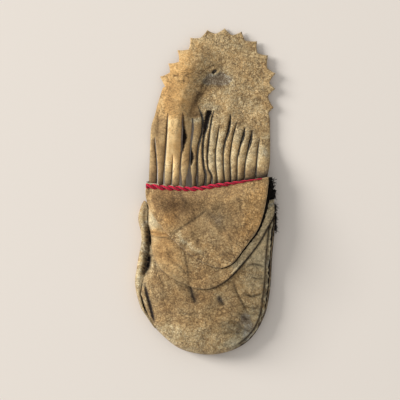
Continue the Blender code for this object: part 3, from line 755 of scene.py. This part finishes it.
class Nodes:
    """Short names for building a material's node tree."""

    def __init__(self, name):
        self.material = bpy.data.materials.new(name)
        self.material.use_nodes = True
        self.tree = self.material.node_tree

    def fill(self, node, inputs):
        for key, value in inputs.items():
            if isinstance(value, bpy.types.NodeSocket):
                self.tree.links.new(value, node.inputs[key])
            else:
                node.inputs[key].default_value = value

    def put(self, kind, inputs, output=0, **settings):
        node = self.tree.nodes.new("ShaderNode" + kind)
        for key, value in settings.items():
            setattr(node, key, value)
        self.fill(node, inputs)
        return node.outputs[output]

    def attribute(self, name, output="Fac"):
        return self.put("Attribute", {}, output, attribute_name=name)

    def maths(self, operation, a, b=0, c=0, clamp=False):
        return self.put("Math", {0: a, 1: b, 2: c}, operation=operation, use_clamp=clamp)

    def times(self, a, b):
        return self.maths("MULTIPLY", a, b)

    def times_add(self, a, b, c, clamp=False):
        return self.maths("MULTIPLY_ADD", a, b, c, clamp)

    def noise(self, vector, scale, detail=2, rough=0.5, distortion=0, output="Fac"):
        inputs = {"Scale": scale, "Detail": detail, "Roughness": rough, "Distortion": distortion}
        return self.put("TexNoise", {"Vector": vector, **inputs}, output)

    def mix(self, share, a, b, blend="MIX"):
        return self.put("Mix", {0: share, 6: a, 7: b}, 2, data_type="RGBA", blend_type=blend)

    def ramp(self, value, stops):
        node = self.tree.nodes.new("ShaderNodeValToRGB")
        self.fill(node, {"Fac": value})
        elements = node.color_ramp.elements
        elements.remove(elements[1])
        elements[0].position, elements[0].color = stops[0]
        for position, colour in stops[1:]:
            elements.new(position).color = colour
        return node.outputs["Color"]

    def span(self, value, low, high, to_low=0, to_high=1):
        inputs = {"From Min": low, "From Max": high, "To Min": to_low, "To Max": to_high}
        return self.put("MapRange", {"Value": value, **inputs}, "Result")

    def finish(self, inputs, height=None, strength=0, depth=0):
        """Fills the shader's sockets, with a bump depth mm deep, and gives the material."""
        if height:
            bump = {"Strength": strength, "Distance": depth * MM, "Height": height}
            inputs = {**inputs, "Normal": self.put("Bump", bump)}
        self.fill(self.tree.nodes["Principled BSDF"], inputs)
        return self.material


def winding_lines(n, at, scale, width, low, high):
    """Thin wrinkles that wind about, in some places only."""
    winding = n.noise(at, scale, 3, 0.6, 1.4)
    lines = n.span(n.maths("ABSOLUTE", n.maths("SUBTRACT", winding, 0.5)), 0, width, 1, 0)
    return n.times(lines, n.span(n.noise(at, scale * 0.4), low, high))


def net_of_cracks(n, at):
    """Fine wrinkles that run round pebbles of grain, in some places only."""
    wander = n.noise(at, 0.35, output="Color")
    bent = n.put("VectorMath", {0: wander, 1: (5, 5, 0), 2: at}, operation="MULTIPLY_ADD")
    gap = n.put("TexVoronoi", {"Vector": bent, "Scale": 0.28}, "Distance", feature="DISTANCE_TO_EDGE")
    return n.times(n.span(gap, 0, 0.12, 1, 0), n.span(n.noise(at, 0.11, 3, 0.6), 0.36, 0.56))


HIDE_TONES = (  # lightness and colour
    (0.00, 46, 34, 22), (0.22, 92, 70, 45), (0.45, 140, 112, 76), (0.65, 176, 146, 104),
    (0.85, 208, 178, 130), (1.00, 232, 212, 172),
)
COOL_TO_WARM = ((0, (0.72, 0.87, 1.20, 1)), (0.2, (0.89, 0.94, 0.95, 1)), (1, (1.15, 0.97, 0.72, 1)))
GROUND_IN = linear(78, 54, 32)
FOLD_SHADE = linear(60, 40, 24)
WORN = linear(226, 206, 168)
SHADOW = linear(26, 15, 8)


def hide_material(name, base, contrast=1.0):
    """Smoked, worn hide. base is the middle of its lightness, from 0 to 1."""
    n = Nodes(name)
    at = n.attribute("spread", "Vector")
    tone, warm, painted_shade, edge, busy = map(n.attribute, ("tone", "warm", "painted_shade", "edge", "busy"))
    clouds = n.noise(at, 0.055, 3, 0.55, 0.4)
    blotch = n.noise(at, 0.17, 4, 0.62, 0.6)
    fine = n.noise(at, 0.45, 2, 0.6, 0.8)
    speck = n.noise(at, 0.80, 3, 0.8)
    grain = n.noise(at, 1.4, 2, 0.6)
    light = base
    for source, share, small in ((clouds, 0.34, False), (blotch, 0.5, False), (fine, 0.5, True),
                                 (speck, 0.95, True), (grain, 1.1, True)):
        amount = n.maths("SUBTRACT", source, 0.5)
        light = n.times_add(n.times(amount, busy) if small else amount, share * contrast, light)
    light = n.times_add(tone, 0.62, light)
    drift = n.times_add(n.noise(at, 0.09, 3, 0.6), 1.5, -0.75)
    shift = n.times_add(n.maths("ADD", warm, drift), 0.6, 0.5, clamp=True)
    colour = n.ramp(light, [(share, linear(*rgb)) for share, *rgb in HIDE_TONES])
    colour = n.mix(1, colour, n.ramp(shift, COOL_TO_WARM), "MULTIPLY")
    creases = winding_lines(n, at, 0.12, 0.020, 0.44, 0.54)
    wrinkles = n.times(winding_lines(n, at, 0.30, 0.040, 0.34, 0.50), busy)
    net = n.times(winding_lines(n, at, 0.62, 0.060, 0.32, 0.48), busy)
    cracks = n.times(net_of_cracks(n, at), busy)
    pores = n.times(n.span(n.noise(at, 0.95, 2, 0.7), 0.53, 0.70), busy)
    # the winding fold lines (creases) are darkened with FOLD_SHADE: painted shade in their hollows
    for mark, share, dirt in ((pores, 0.62, GROUND_IN), (net, 0.42, GROUND_IN), (cracks, 0.65, GROUND_IN),
                              (creases, 0.60, FOLD_SHADE), (wrinkles, 0.58, GROUND_IN)):
        colour = n.mix(n.times(mark, share), colour, dirt)
    colour = n.mix(n.times(edge, n.span(blotch, 0.40, 0.62, 0.15, 0.75)), colour, WORN)
    height = n.times(grain, 0.25)
    sunken = n.maths("ADD", creases, wrinkles)
    for source, share in ((speck, 0.45), (blotch, 0.5), (sunken, -0.35), (pores, -0.2)):
        height = n.times_add(source, share, height)
    return n.finish({
        "Base Color": n.mix(painted_shade, colour, SHADOW), "Roughness": n.span(speck, 0.3, 0.7, 0.80, 0.95),
        "Specular IOR Level": 0.25, "Sheen Weight": 0.12, "Sheen Roughness": 0.5,
    }, height, 0.8, 0.6)


def strand_material(name, light, dark, twist, sheen=0.3):
    """Spun fibre: fine slanted lines along the strand."""
    n = Nodes(name)
    slant = n.times_add(n.attribute("run"), twist, n.times(n.attribute("turn"), 3))
    lines = n.maths("SINE", n.times(slant, TURN))
    fluff = n.noise(n.put("TexCoord", {}, "Object"), 900, 3, 0.7)
    share = n.times_add(lines, 0.28, fluff, clamp=True)
    # groove is painted shade in the crevice where the plies press together
    colour = n.mix(n.attribute("groove"), n.mix(share, dark, light), linear(30, 4, 8))
    fixed = {"Roughness": 0.9, "Sheen Weight": sheen, "Specular IOR Level": 0.2}
    return n.finish({"Base Color": colour, **fixed}, share, 0.8, 0.15)


def felt_material(name, light, dark):
    """Matted dark wool."""
    n = Nodes(name)
    tangle = n.noise(n.attribute("spread", "Vector"), 2.2, 4, 0.75, 1.5)
    colour = n.mix(n.span(tangle, 0.35, 0.7), dark, light)
    return n.finish({"Base Color": colour, "Roughness": 0.95, "Specular IOR Level": 0.1}, tangle, 0.9, 0.4)


hide = hide_material("hide_worn", 0.75)
flap_hide = hide_material("hide_dark", 0.685)
crown_hide = hide_material("hide_tab", 0.845, 0.85)
red_wool = strand_material("wool_red", linear(228, 38, 76), linear(140, 10, 32), 0.55, 0.2)
black_wool = strand_material("wool_black", linear(34, 28, 22), linear(8, 6, 5), 0.6, 0)
sinew = strand_material("sinew_brown", linear(120, 92, 60), linear(60, 42, 26), 0.8)
felt = felt_material("wool_felt", linear(30, 24, 18), linear(7, 5, 4))

# ---------------------------------------------------------------- pieces


def stands_for(made, node=None, blend=None):
    """Hangs the piece under the pouch's empty, or bakes its transform when a blend is given, and hides the
    CAD node that it stands for.
    """
    if blend:
        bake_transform(made)
    else:
        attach(made, "pouch")
    if node:
        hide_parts(node)


# dark goes into the painted_shade attribute: painted shade, which the hide material mixes towards SHADOW
def looks(tone, warm, dark, **others):
    return {"tone": tone, "warm": warm, "painted_shade": np.clip(dark, 0, 1), **others}


def wool_looks(x, y):
    return {}


def front_paint(x, y):
    gap, along, _ = place(x, y, SEAM)
    gap = gap - front_inset(x, y)
    tone, warm = patched(x, y, FRONT_PATCHES)
    left, right, deep = leftness(x, y), rightness(x), pocket(y)
    toe = ramp(-y, 84, 104) * (1 - right)
    tone = tone + toe * 0.26 * near(gap, 5) + right * 0.46 * near(gap, 2.2)
    # painted light and shade of ruffles along the right-hand lip
    tone += right * 0.55 * noise(along, 0 * along, 2.4, 43) * near(gap, 3)
    # painted light and shade that follow the gathers of the left seam
    tone += (0.12 * gathers(along) + 0.12) * left * near(gap, 7)
    warm = warm - toe * 0.12 * near(gap, 7) - right * 0.45 * near(gap, 3) - 0.5 * left * near(gap, 6)
    # painted shade: in the pockets of the left seam (pit), in the folds between its gathers (ray), in the
    # right seam's groove (line), as dark spots along its lip (dots), and under and just beyond the cuff's
    # edge (under, cast)
    pit = left * deep * np.clip(1.25 - np.clip(gap - 1.6, 0, 9) / 1.6, 0, 1)
    ray = left * deep * 0.6 * near(gap, 5) * (gathers(along) < -0.15)
    line = right * (1 + 0.2 * noise(along, gap, 5, 35)) * bell(gap - seam_line(y), 0.8)
    dots = right * 0.7 * bell(gap - 1, 0.9) * ramp(noise(along, 0 * along, 1.7, 36), 0.1, 0.5)
    width = 0.5 + 0.6 * ramp(x, 6, 24)
    covered = inside(x, y, np.vstack([UNDER_LINE, [(0, 0)]]))
    cast = np.exp(-((place(x, y, UNDER_LINE)[0] / width) ** 4))
    under = (0.40 + 0.6 * ramp(x, 2, 16)) * np.where(covered, 1, cast)
    dark = np.maximum.reduce([creased(x, y, FRONT_CREASES)[1], pit, ray, line, dots, under])
    return looks(tone, warm, dark, busy=np.full(x.shape, 0.88))


def mouth_edge(right, left, right_dip, left_dip, spacing):
    """The line across the mouth, which may dip a little at each side."""
    points = ((right, 0), (20, right_dip), (0, 0), (-20, left_dip), (left, 0))
    return curve([(x, MOUTH_Y - dip) for x, dip in points], spacing)


def front_panel():
    below = SEAM[:, 1] < MOUTH_Y - 0.8
    edge = (SEAM + SEAM_IN * front_inset(*SEAM.T)[:, None])[below]
    scallop = 0.80 * noise(np.arange(len(edge)), 0, 1.9, 37)
    edge += SEAM_IN[below] * (scallop * rightness(edge[:, 0]))[:, None]
    mouth = mouth_edge(edge[-1, 0] - 1, edge[0, 0] + 1, 0.4, 0.3, 1.2)
    made = sheet("front_hide", np.vstack([edge, mouth]), front_low, HIDE, front_paint, hide)
    stands_for(made, "front_panel")


WRAP = (  # inwards and upwards, as shares of the roll's width and height
    (0.78, 0.005), (0.55, 0.03), (0.34, 0.09), (0.17, 0.20), (0.06, 0.34), (0, 0.50), (0.02, 0.64),
    (0.09, 0.78), (0.20, 0.89), (0.33, 0.96), (0.47, 1), (0.60, 0.98), (0.72, 0.92), (0.83, 0.81),
    (0.91, 0.66), (0.97, 0.48),
)
LIP_FROM = 12  # the wrap's rows from here on are sunk only in the pockets
LIP_RISE = 0.97


def wrapped_rows(which, starts, width):
    """The rows of the back hide that wrap up and over the front's left side."""
    x, y = SEAM[which].T
    along = place(*SEAM.T, SEAM)[1][which]
    inwards, deep = SEAM_IN[which], pocket(y)
    bottom = back_low(*starts.T)
    fullness = smooth(width / 3)
    top = FRONT_Z + HIDE + 1.6 * fullness - 2.2 * (1 - smooth((width - 0.5) / 2))
    top += 0.4 * (1 - ramp(-y, 18, 30)) * fullness - 2.8 * (1 - ramp(-y, 9, 17))
    rows = []
    for k, ((reach, rise), (turn_in, turn_up)) in enumerate(zip(WRAP, np.gradient(WRAP, axis=0))):
        pleat = gathers(along) * smooth((rise - 0.45) / 0.4) * smooth(width / 4)
        lip = rise if k < LIP_FROM else LIP_RISE + (rise - LIP_RISE) * deep
        z = bottom + (top - bottom) * lip + (0.35 + 0.6 * deep) * pleat * rise
        z += 0.5 * noise(along, rise * 6, 7, 33) * rise
        outward = width * (1 - reach) + 0.5 * noise(along, 3, 9, 34) * math.sin(math.pi * rise)
        spot = starts - inwards * outward[:, None]
        slope = np.column_stack([turn_in * width, turn_up * (top - bottom)])
        slope /= np.hypot(*slope.T)[:, None]
        thick = np.minimum(HIDE - 0.2, 0.40 * width)
        inner = spot + inwards * (slope[:, 1] * thick)[:, None]
        rows.append((np.column_stack([spot, z]), np.column_stack([inner, z - slope[:, 0] * thick]),
                     SEAM[which] - inwards * (2 + 9 * k / len(WRAP))))
    return rows


def back_panel():
    """The back hide, with the edge that wraps over the left side."""
    keep = SEAM[:, 1] < ROLL[0][0]
    wrapped = keep & (SEAM[:, 0] < 0) & (SEAM[:, 1] > -97)
    inset = np.where(wrapped, roll_width(SEAM[:, 1]) + 0.3, 0.25)
    starts = SEAM + SEAM_IN * inset[:, None]
    tops = [(45, 1), (44, fold_y(44) + 0.6), *[(x, fold_y(x) + 0.9) for x in range(40, -42, -3)],
            (-42.6, fold_y(-42.6)), (-43.2, -2)]
    flat, faces = cut(np.vstack([starts[keep], tops]), SPACING["back_hide"])
    low = np.column_stack([flat, back_low(*flat.T)])
    which = np.flatnonzero(wrapped)
    first_row = [int(np.argmin(np.hypot(*(flat - starts[i]).T))) for i in which]
    rows = wrapped_rows(which, starts[which], inset[which])
    low, high, polygons, spread = join_rows(flat, low, low + (0, 0, HIDE), faces, first_row, rows, True)
    x, y, z = low.T
    gap, run, _ = place(x, y, SEAM)
    up = ramp(z, 5, 9) * (x < 0)
    # the gathers term in tone is painted light and shade that follows the pleats
    tone = 0.05 + 0.16 * up - 0.10 * up * (1 - ramp(-y, 14, 26)) + 0.16 * gathers(run) * leftness(x, y) * up
    warm = -0.35 * up - 0.15 * up * (1 - ramp(-y, 14, 30))
    inner = np.clip(roll_width(y) - gap, 0, 9)
    # painted shade: in the pockets of the left seam, ribbed across its gathers (shade), along the fold down
    # the roll (fold), and on the right-hand lip in the step beneath the welt (right_lip)
    wave = run * TURN / 3.1 - inner * 0.5 + 2.6 * noise(run, inner * 0.5, 4, 39)
    ribs = 0.92 - 0.40 * np.sin(wave) * ramp(inner, 0.3, 1.6)
    fold = 0.55 * (0.6 + 0.6 * noise(run, 0 * run, 3, 40)) * ramp(-y, 9, 13) * (1 - ramp(-y, 21, 26)) * up
    fold = np.maximum(fold * bell(inner - 2.9 - 0.5 * noise(run, 0 * run, 4, 42), 0.7), 0)
    shade = pocket(y) ** 0.6 * up * bell(inner, 2.9) * ribs
    right_lip = ramp(x, 14, 26) * (gap < 1.8) * 0.92
    paint = looks(tone, warm, shade + fold + right_lip, busy=1 - 0.2 * up)
    made = hide_body("back_hide", low, high, polygons, paint, hide, spread)
    stands_for(made, "back_panel")


def welt_paint(x, y):
    gap, along, _ = place(x, y, SEAM)
    # painted shade: in the step by the front's edge and in time with the stitches' puckers
    dark = ramp(gap, 1.2, 1.55) + 0.35 * ramp(np.sin(along * TURN / STITCH), 0.3, 0.9)
    return looks(np.full(x.shape, 0.06), np.full(x.shape, -0.6), dark)


def side_welt():
    keep = (SEAM[:, 0] > 18) & (SEAM[:, 1] < MOUTH_Y - 3)
    ripple = 0.70 * noise(np.arange(len(SEAM)), 0, 2.2, 38)
    outer = (SEAM + SEAM_IN * (0.95 + ripple)[:, None])[keep]
    inner = (SEAM + SEAM_IN * 4.2)[keep][::-1]
    made = sheet("welt", np.vstack([outer, inner]), lambda x, y: WELT_Z + 0 * x, WELT, welt_paint, flap_hide)
    stands_for(made, "side_welt")


def cuff_paint(x, y):
    tone, warm = patched(x, y, CUFF_PATCHES)
    shade = place(x, y, OUTER_LINE)[0]
    beyond = ~inside(x, y, np.vstack([OUTER_LINE, [(0, 20)]]))
    # painted shade: a contact shadow just beyond the outer flap's edge and shade where the flap covers the
    # cuff (contact), and a dark line along the cuff's own edge (rim)
    contact = 0.30 * near(shade, 2.2) * ramp(-x, 0, 10) + 0.55 * near(shade, 0.9) * ramp(x, 0, 16)
    contact = np.where(beyond, contact, 0.4) * ramp(x, -44, -30)
    rim = (0.25 + 0.6 * ramp(x, 0, 16)) * bell(place(x, y, UNDER_LINE)[0], 0.45)
    dark = np.maximum.reduce([creased(x, y, CUFF_CREASES)[1], contact, rim])
    tone += 0.05 + 0.66 * ramp(x, 10, 24)
    return looks(tone, warm, dark, pale=np.zeros(x.shape), busy=1 - 0.45 * ramp(-x, 14, 24))


# Degrees round the mouth's edge, and how far back under it, for each row that the cuff turns under.
TURNED_UNDER = (*((angle, 0) for angle in range(30, 181, 30)), (180, 2.2), (180, 4.4), (180, 6.6))


def cuff():
    """The turned-down cuff, with the fold that takes it round the mouth's edge."""
    root = mouth_edge(UNDER_LINE[-1, 0] - 1.2, UNDER_LINE[0, 0] + 1.2, 0, 0, 1.5)
    flat, faces = cut(np.vstack([UNDER_LINE, root]), SPACING["cuff_hide"])
    low = np.column_stack([flat, cuff_low(*flat.T)])
    rim = sorted(np.flatnonzero(np.abs(flat[:, 1] - MOUTH_Y) < 1e-4).tolist(), key=lambda i: flat[i, 0])
    x, mouth = flat[rim, 0], np.full(len(rim), MOUTH_Y)
    top, under = low[rim, 2], front_low(x, mouth) - 0.5
    middle, half = (top + under) / 2, (top - under) / 2
    rows = []
    for k, (angle, back) in enumerate(TURNED_UNDER):
        angle = math.radians(angle)
        drop = 0.1 * min(0.6 * back, 3)
        arc = [np.column_stack([x, MOUTH_Y + radius * math.sin(angle) - back,
                                middle + radius * math.cos(angle) - drop]) for radius in (half, half + FLAP)]
        rows.append((*arc, np.column_stack([x, mouth + 1.2 * (k + 1)])))
    low, high, polygons, spread = join_rows(flat, low, low + (0, 0, FLAP), faces, rim, rows, False)
    made = hide_body("cuff_hide", low, high, polygons, cuff_paint(*low[:, :2].T), hide, spread)
    stands_for(made, "under_flap", CUFF_BLEND)


def outer_paint(x, y):
    tone, warm = patched(x, y, OUTER_PATCHES)
    gap = place(x, y, OUTER_LINE)[0]
    beyond_fold = y - fold_y(x)
    tone = tone + 0.10 * near(gap, 2) + 0.10 * bell(beyond_fold, 2)
    beyond = ramp(beyond_fold, 1.3, 1.9)
    return looks(tone + 0.9 * beyond, warm + 0.10 - 0.5 * beyond, creased(x, y, OUTER_CREASES)[1],
                 pale=0.5 + 0.5 * (beyond_fold > 0), busy=0.78 + 0.6 * near(gap, 7) * ramp(-y, 24, 34))


def outer_flap():
    fold = [(x, fold_y(x) + 0.5 + 2.1 * (1 - ramp(x, -20, -12))) for x in np.arange(43, -43.2, -1.2)]
    made = sheet("flap_hide", np.vstack([OUTER_LINE, fold]), outer_low, FLAP, outer_paint, flap_hide)
    stands_for(made, "outer_flap", FLAP_BLEND)


def flap_lining():
    """The wool strip that shows beyond the flap's right-hand edge."""
    line = OUTER_LINE[(OUTER_LINE[:, 0] > 9) & (OUTER_LINE[:, 1] < 4)]
    away = np.gradient(line, axis=0)[:, ::-1] * (1, -1)
    away /= np.hypot(*away.T)[:, None]
    share, number = np.linspace(0, 1, len(line)), np.arange(len(line))
    ragged = 0.22 * np.sin(number * 2.3) + 0.15 * np.sin(number * 5.1)
    proud = (0.5 + 2.1 * share**1.3 + ragged * (0.4 + share))[:, None]
    made = sheet("flap_wool", np.vstack([line + away * proud, (line - away * 5)[::-1]]),
                 lambda x, y: outer_low(x, y) - LINING - 0.15, LINING, wool_looks, felt)
    stands_for(made, "flap_lining", FLAP_BLEND)


def tab_paint(x, y):
    tone, warm = patched(x, y, TAB_PATCHES)
    number, across, loose, cut_free, own = strip_place(x, y)
    above_fold = y - fold_y(x)
    # painted light and shade across each strip: lighter towards its left and darker towards its right, with a
    # painted highlight on its left edge; the strips also darken towards the yarn as painted shade
    tone = tone + own * STRIP_TONE[number] - 0.14 * cut_free * across
    tone += cut_free * 0.28 * ramp(-across, 0.70, 0.95) - 0.55 * loose * ramp(-above_fold, -18, -2)
    warm = warm - loose * (0.15 + 0.35 * ramp(-y, -24, -4)) + 0.05 + 0.25 * ramp(-x, 4, 20) * ramp(y, 40, 55)
    # painted shade: under the flap's root (under), on the strips' right sides along the slits (side), in the
    # turned-under places (sunk) and inside the hanging hole
    under = 0.85 * near(np.clip(above_fold - 1.8, 0, 50), 1.8) * (y < 30)
    side = 0.97 * ramp(across, 0.76, 0.95) + 0.35 * ramp(-across, 0.93, 1)
    side = np.where((number == 6) | (number == 7), ramp(np.abs(across), 0.45, 0.80), side)
    side = np.where(number == 5, ramp(across, 0.62, 0.85), side)
    side = cut_free * np.where((number == len(SLITS)) & (across > 0), 0, side)
    hx, hy = x - HOLE_CENTRE[0], y - HOLE_CENTRE[1]
    hole_x, hole_y = hx * HOLE_TURN[0] + hy * HOLE_TURN[1], hy * HOLE_TURN[0] - hx * HOLE_TURN[1]
    out_of_hole = np.hypot(hole_x / 2.2, hole_y / 1.2)
    # the hole's lower right rim is a pale cut edge with a painted highlight on its lit side
    rim = bell(out_of_hole - 1.55, 0.35) * ramp(hx - hy, 0, 1.6)
    dark = np.maximum.reduce([creased(x, y, TAB_CREASES)[1] * (1 - rim), under, side, 1.3 * sunk(x, y),
                              1.5 * np.exp(-(out_of_hole**4))])
    smoother = 0.35 * loose * ((number == 2) | (number == 3)) + 0.45 * ramp(-x, 4, 14) + 0.2 * own
    return looks(tone + 1.5 * rim, warm + 2 * rim, dark, pale=np.where(y > 62, 0.35, 0.12) * (dark < 0.5),
                 busy=1 - smoother)


def slit_loop(slit):
    line = curve(slit, 1)
    tangent = unit(np.gradient(line[:, :2], axis=0))
    normal = tangent[:, ::-1] * (1, -1)
    half = line[:, 2:] / 2 * (1 + 0.25 * noise(line[:, 1], line[:, 0], 3, 101)[:, None])
    return np.vstack([line[:, :2] + normal * half, (line[:, :2] - normal * half)[::-1]])


def polar(angle, radius):
    turn = math.radians(angle)
    radius *= 1 + 0.02 * max(math.sin(turn), 0)
    return np.array([CROWN_CENTRE[0] + radius * math.cos(turn), CROWN_CENTRE[1] + radius * math.sin(turn)])


def tab_outline():
    teeth = [polar(*point) for tooth in TEETH for point in (tooth[:2], tooth[2:])]
    steps = []
    for a, b in zip(teeth, teeth[1:]):
        count = max(2, round(np.hypot(*(b - a)) / 1.1))
        bend = np.array([b[1] - a[1], a[0] - b[0]]) * 0.05
        steps += [a + (b - a) * t + bend * 4 * t * (1 - t) for t in np.arange(count) / count]
    root = [(x, fold_y(x) + 0.3) for x in np.arange(42, -41.2, -1.2)]
    notch = [(-31.2, 73.6), (-29.6, 74.4)]
    return np.vstack([curve(TAB_LEFT, 1.2), notch, steps, teeth[-1:], curve(TAB_RIGHT, 1.2), root])


def hanging_hole():
    angle = np.linspace(0, TURN, 18, endpoint=False)
    along, over = HOLE_HALF[0] * np.cos(angle), HOLE_HALF[1] * np.sin(angle)
    (cx, cy), (c, s) = HOLE_CENTRE, HOLE_TURN
    return np.column_stack([cx + along * c - over * s, cy + along * s + over * c])


def fringe_tab():
    holes = [slit_loop(s) for s in SLITS] + [hanging_hole()]
    made = sheet("tab_hide", tab_outline(), tab_low, TAB, tab_paint, crown_hide, holes)
    stands_for(made, "fringe_tab", TAB_BLEND)


def mouth_lining():
    """The wool that lines the mouth, with its ragged end out at the right."""
    end = curve([(43, -6.6), (46.6, -5.6), (48.6, -3.4), (48.2, -0.8), (49.4, 1), (46.8, 2.4), (47.6, 4.6),
                 (46, 6.2), (45.6, 9), (43.8, 10.4), (42.6, 8.6)], 0.8)
    end[1:-1] += np.random.default_rng(5).normal(0, 0.35, (len(end) - 2, 2))
    rest = [(30, -0.5), (0, -3), (-30, -4), (-40, -3), (-40, -12), (-38, -30), (0, -31), (38, -30), (42, -16)]
    made = sheet("mouth_wool", np.vstack([end, rest]),
                 lambda x, y: back_low(x, y) + HIDE + 0.5 + 1.1 * ramp(x, 43, 45), LINING, wool_looks, felt)
    stands_for(made, "mouth_lining")


FIBRE_STEPS = 9


def wool_fray():
    """Loose black fibres where the lining comes out at the right of the mouth."""
    rng = np.random.default_rng(77)
    even, normal = rng.uniform, rng.normal
    paths, radii = [], []

    def fibre(start, heading, length, curl, radius, lift=-0.05):
        point, path, step = np.array(start, float), [], length / FIBRE_STEPS
        for _ in range(FIBRE_STEPS):
            path.append(point.copy())
            heading += normal(0, curl)
            point += (math.cos(heading) * step, math.sin(heading) * step, lift * step + normal(0, 0.12))
        paths.append(path)
        radii.append(np.linspace(radius, radius * 0.35, FIBRE_STEPS))

    for _ in range(260):
        start = (even(42.6, 46.8), even(-4.5, 9.4), even(9, 12))
        fibre(start, even(0, 6.3), even(2, 4), 0.55, even(0.12, 0.24), -0.1)
    for _ in range(16):
        start = (even(45.5, 47.5), rng.choice([-1, 2.5, 6.5]) + normal(0, 0.8), even(9, 11))
        fibre(start, normal(-0.1, 0.6), even(2, 4.2), 0.35, 0.10)
    for _ in range(170):
        t = even(0, 1)
        start = (48.1 + 0.5 * t + normal(0, 0.3), -8.5 - 19 * t, even(7.5, 9.8))
        fibre(start, normal(-1.5, 0.22), even(1.5, 3.2), 0.2, even(0.12, 0.24))
    for _ in range(30):
        start = (normal(48.4, 0.6), normal(-11.5, 1.8), even(8, 9.6))
        fibre(start, even(0, 6.3), even(1.2, 2.4), 0.5, 0.16)
    for _ in range(40):
        start = (even(-42, -40.5), even(4.2, 7.4), even(8.6, 10))
        fibre(start, even(0, 6.3), even(1, 2), 0.4, 0.13, 0)
    stands_for(tubes("wool_fray", paths, radii, black_wool, 5))


PLY_SIDES = 16


def red_yarn():
    """Two plies twisted together, thinning to the right, with stray fibres."""
    rng = np.random.default_rng(3)
    x = np.linspace(-42.6, 38.6, 500)
    y = fold_y(x) + 0.15 + 0.2 * noise(x, 0 * x, 6, 57)
    z = YARN_Z + 0.25 * np.sin(x / 5)
    thick = 0.94 - 0.14 * ramp(x, -20, 10) - 0.54 * ramp(x, 4, 39)
    run = np.concatenate([[0], np.cumsum(np.hypot(np.diff(x), np.diff(y)))])
    fluff = []
    for letter, phase in (("a", 0), ("b", math.pi)):
        angle = run * TURN / 11.4 + phase
        out = np.column_stack([0 * x, np.cos(angle), np.sin(angle)])
        centre = np.column_stack([x, y, z]) + out * 0.95 * thick[:, None]
        lumps = 1 + 0.16 * noise(x, 0 * x, 2.6, 55 + int(phase))
        made = tubes("yarn_ply_" + letter, [centre], [thick * lumps], red_wool, PLY_SIDES)
        points = np.array([v.co for v in made.data.vertices]) / MM
        around = unit(points - np.repeat(centre, PLY_SIDES, axis=0))
        facing = (around * -np.repeat(out, PLY_SIDES, axis=0)).sum(axis=1)
        # painted shade on the side of each ply that faces the other
        put_values(made.data, "groove", 0.95 * ramp(facing, 0.05, 0.65))
        stands_for(made, "red_yarn_ply_" + letter)
        for _ in range(170):
            k = rng.integers(4, len(x) - 4)
            lean = rng.uniform(0, TURN)
            side = np.array([0, math.cos(lean), abs(math.sin(lean))])
            start = centre[k] + side * thick[k]
            bend = np.array([rng.normal(0, 1.1), 0, 0]) + side * rng.uniform(0.2, 0.6)
            fluff.append([start - side * 0.15, start + bend * 0.4 + side * 0.1, start + bend * 0.9])
    stands_for(tubes("yarn_fluff", fluff, [0.045] * len(fluff), red_wool, 4))


def stitches():
    """Short sinew stitches along the right-hand seam, and the thread that gathers the left one."""
    right, left = [], []
    for first in np.flatnonzero((SEAM[:, 0] > 26) & (SEAM[:, 1] < -34))[::3][:-1]:
        row = []
        for k, dip in zip(range(first, first + 3), (0.35, 0, 0.35)):
            spot = SEAM[k] + SEAM_IN[k] * (front_inset(*SEAM[k]) + seam_line(SEAM[k, 1]) - 0.1)
            row.append((*spot, front_low(*spot) + HIDE + 0.16 - dip))
        right.append(curve(row, steps=4))
    for first in np.flatnonzero((SEAM[:, 0] < -30) & (SEAM[:, 1] < -17) & (SEAM[:, 1] > -64))[::4]:
        inset = roll_width(SEAM[first, 1])
        row = [(*(SEAM[first] + SEAM_IN[first] * (inset + shift)), FRONT_Z + lift)
               for shift, lift in ((-1.5, 0.2), (-0.5, 0.75), (0.6, 0.75), (1.7, 0.1))]
        left.append(curve(row, steps=3))
    for side, paths, radius in (("right", right, 0.27), ("left", left, 0.3)):
        made = tubes(side + "_stitches", paths, [radius] * len(paths), sinew, 8)
        stands_for(made, side + "_seam_thread")


# ---------------------------------------------------------------- floor, light and camera

FLOOR_HALF = 1.5
FLOOR_Z = -0.0001
LAMP_SPOT = (-4.4, 1.6, 2.16)
CAMERA_SPOT = (-0.00494, -0.00564, 1.8)
VIEW_WIDTH = 0.2811
VIEW_HEIGHT = 0.012  # where the view is that wide


def stage():
    data = bpy.data.meshes.new("floor")
    corners = [(x * FLOOR_HALF, y * FLOOR_HALF, FLOOR_Z) for x, y in ((-1, -1), (1, -1), (1, 1), (-1, 1))]
    data.from_pydata(corners, [], [(0, 1, 2, 3)])
    paper = {"Base Color": linear(233, 225, 216), "Roughness": 0.95, "Specular IOR Level": 0.1}
    data.materials.append(Nodes("paper").finish(paper))
    put_object("floor", data)

    scene = bpy.context.scene
    scene.world = bpy.data.worlds.new("studio")
    scene.world.use_nodes = True
    background = scene.world.node_tree.nodes["Background"].inputs
    background["Color"].default_value = (1, 0.992, 0.982, 1)
    background["Strength"].default_value = 0.52

    key = bpy.data.lights.new("key", "AREA")
    key.energy, key.color, key.size = 290, (1, 0.992, 0.978), 2.1
    lamp = put_object("key", key)
    lamp.location = LAMP_SPOT
    lamp.rotation_euler = (-Vector(LAMP_SPOT)).to_track_quat("-Z", "Y").to_euler()

    camera = bpy.data.cameras.new("camera")
    camera.sensor_width = 36
    camera.lens = camera.sensor_width * (CAMERA_SPOT[2] - VIEW_HEIGHT) / VIEW_WIDTH
    scene.camera = put_object("camera", camera)
    scene.camera.location = CAMERA_SPOT
    scene.view_settings.view_transform = "Standard"
    scene.view_settings.look = "None"


stage()
back_panel()
side_welt()
front_panel()
mouth_lining()
cuff()
flap_lining()
outer_flap()
fringe_tab()
red_yarn()
wool_fray()
stitches()
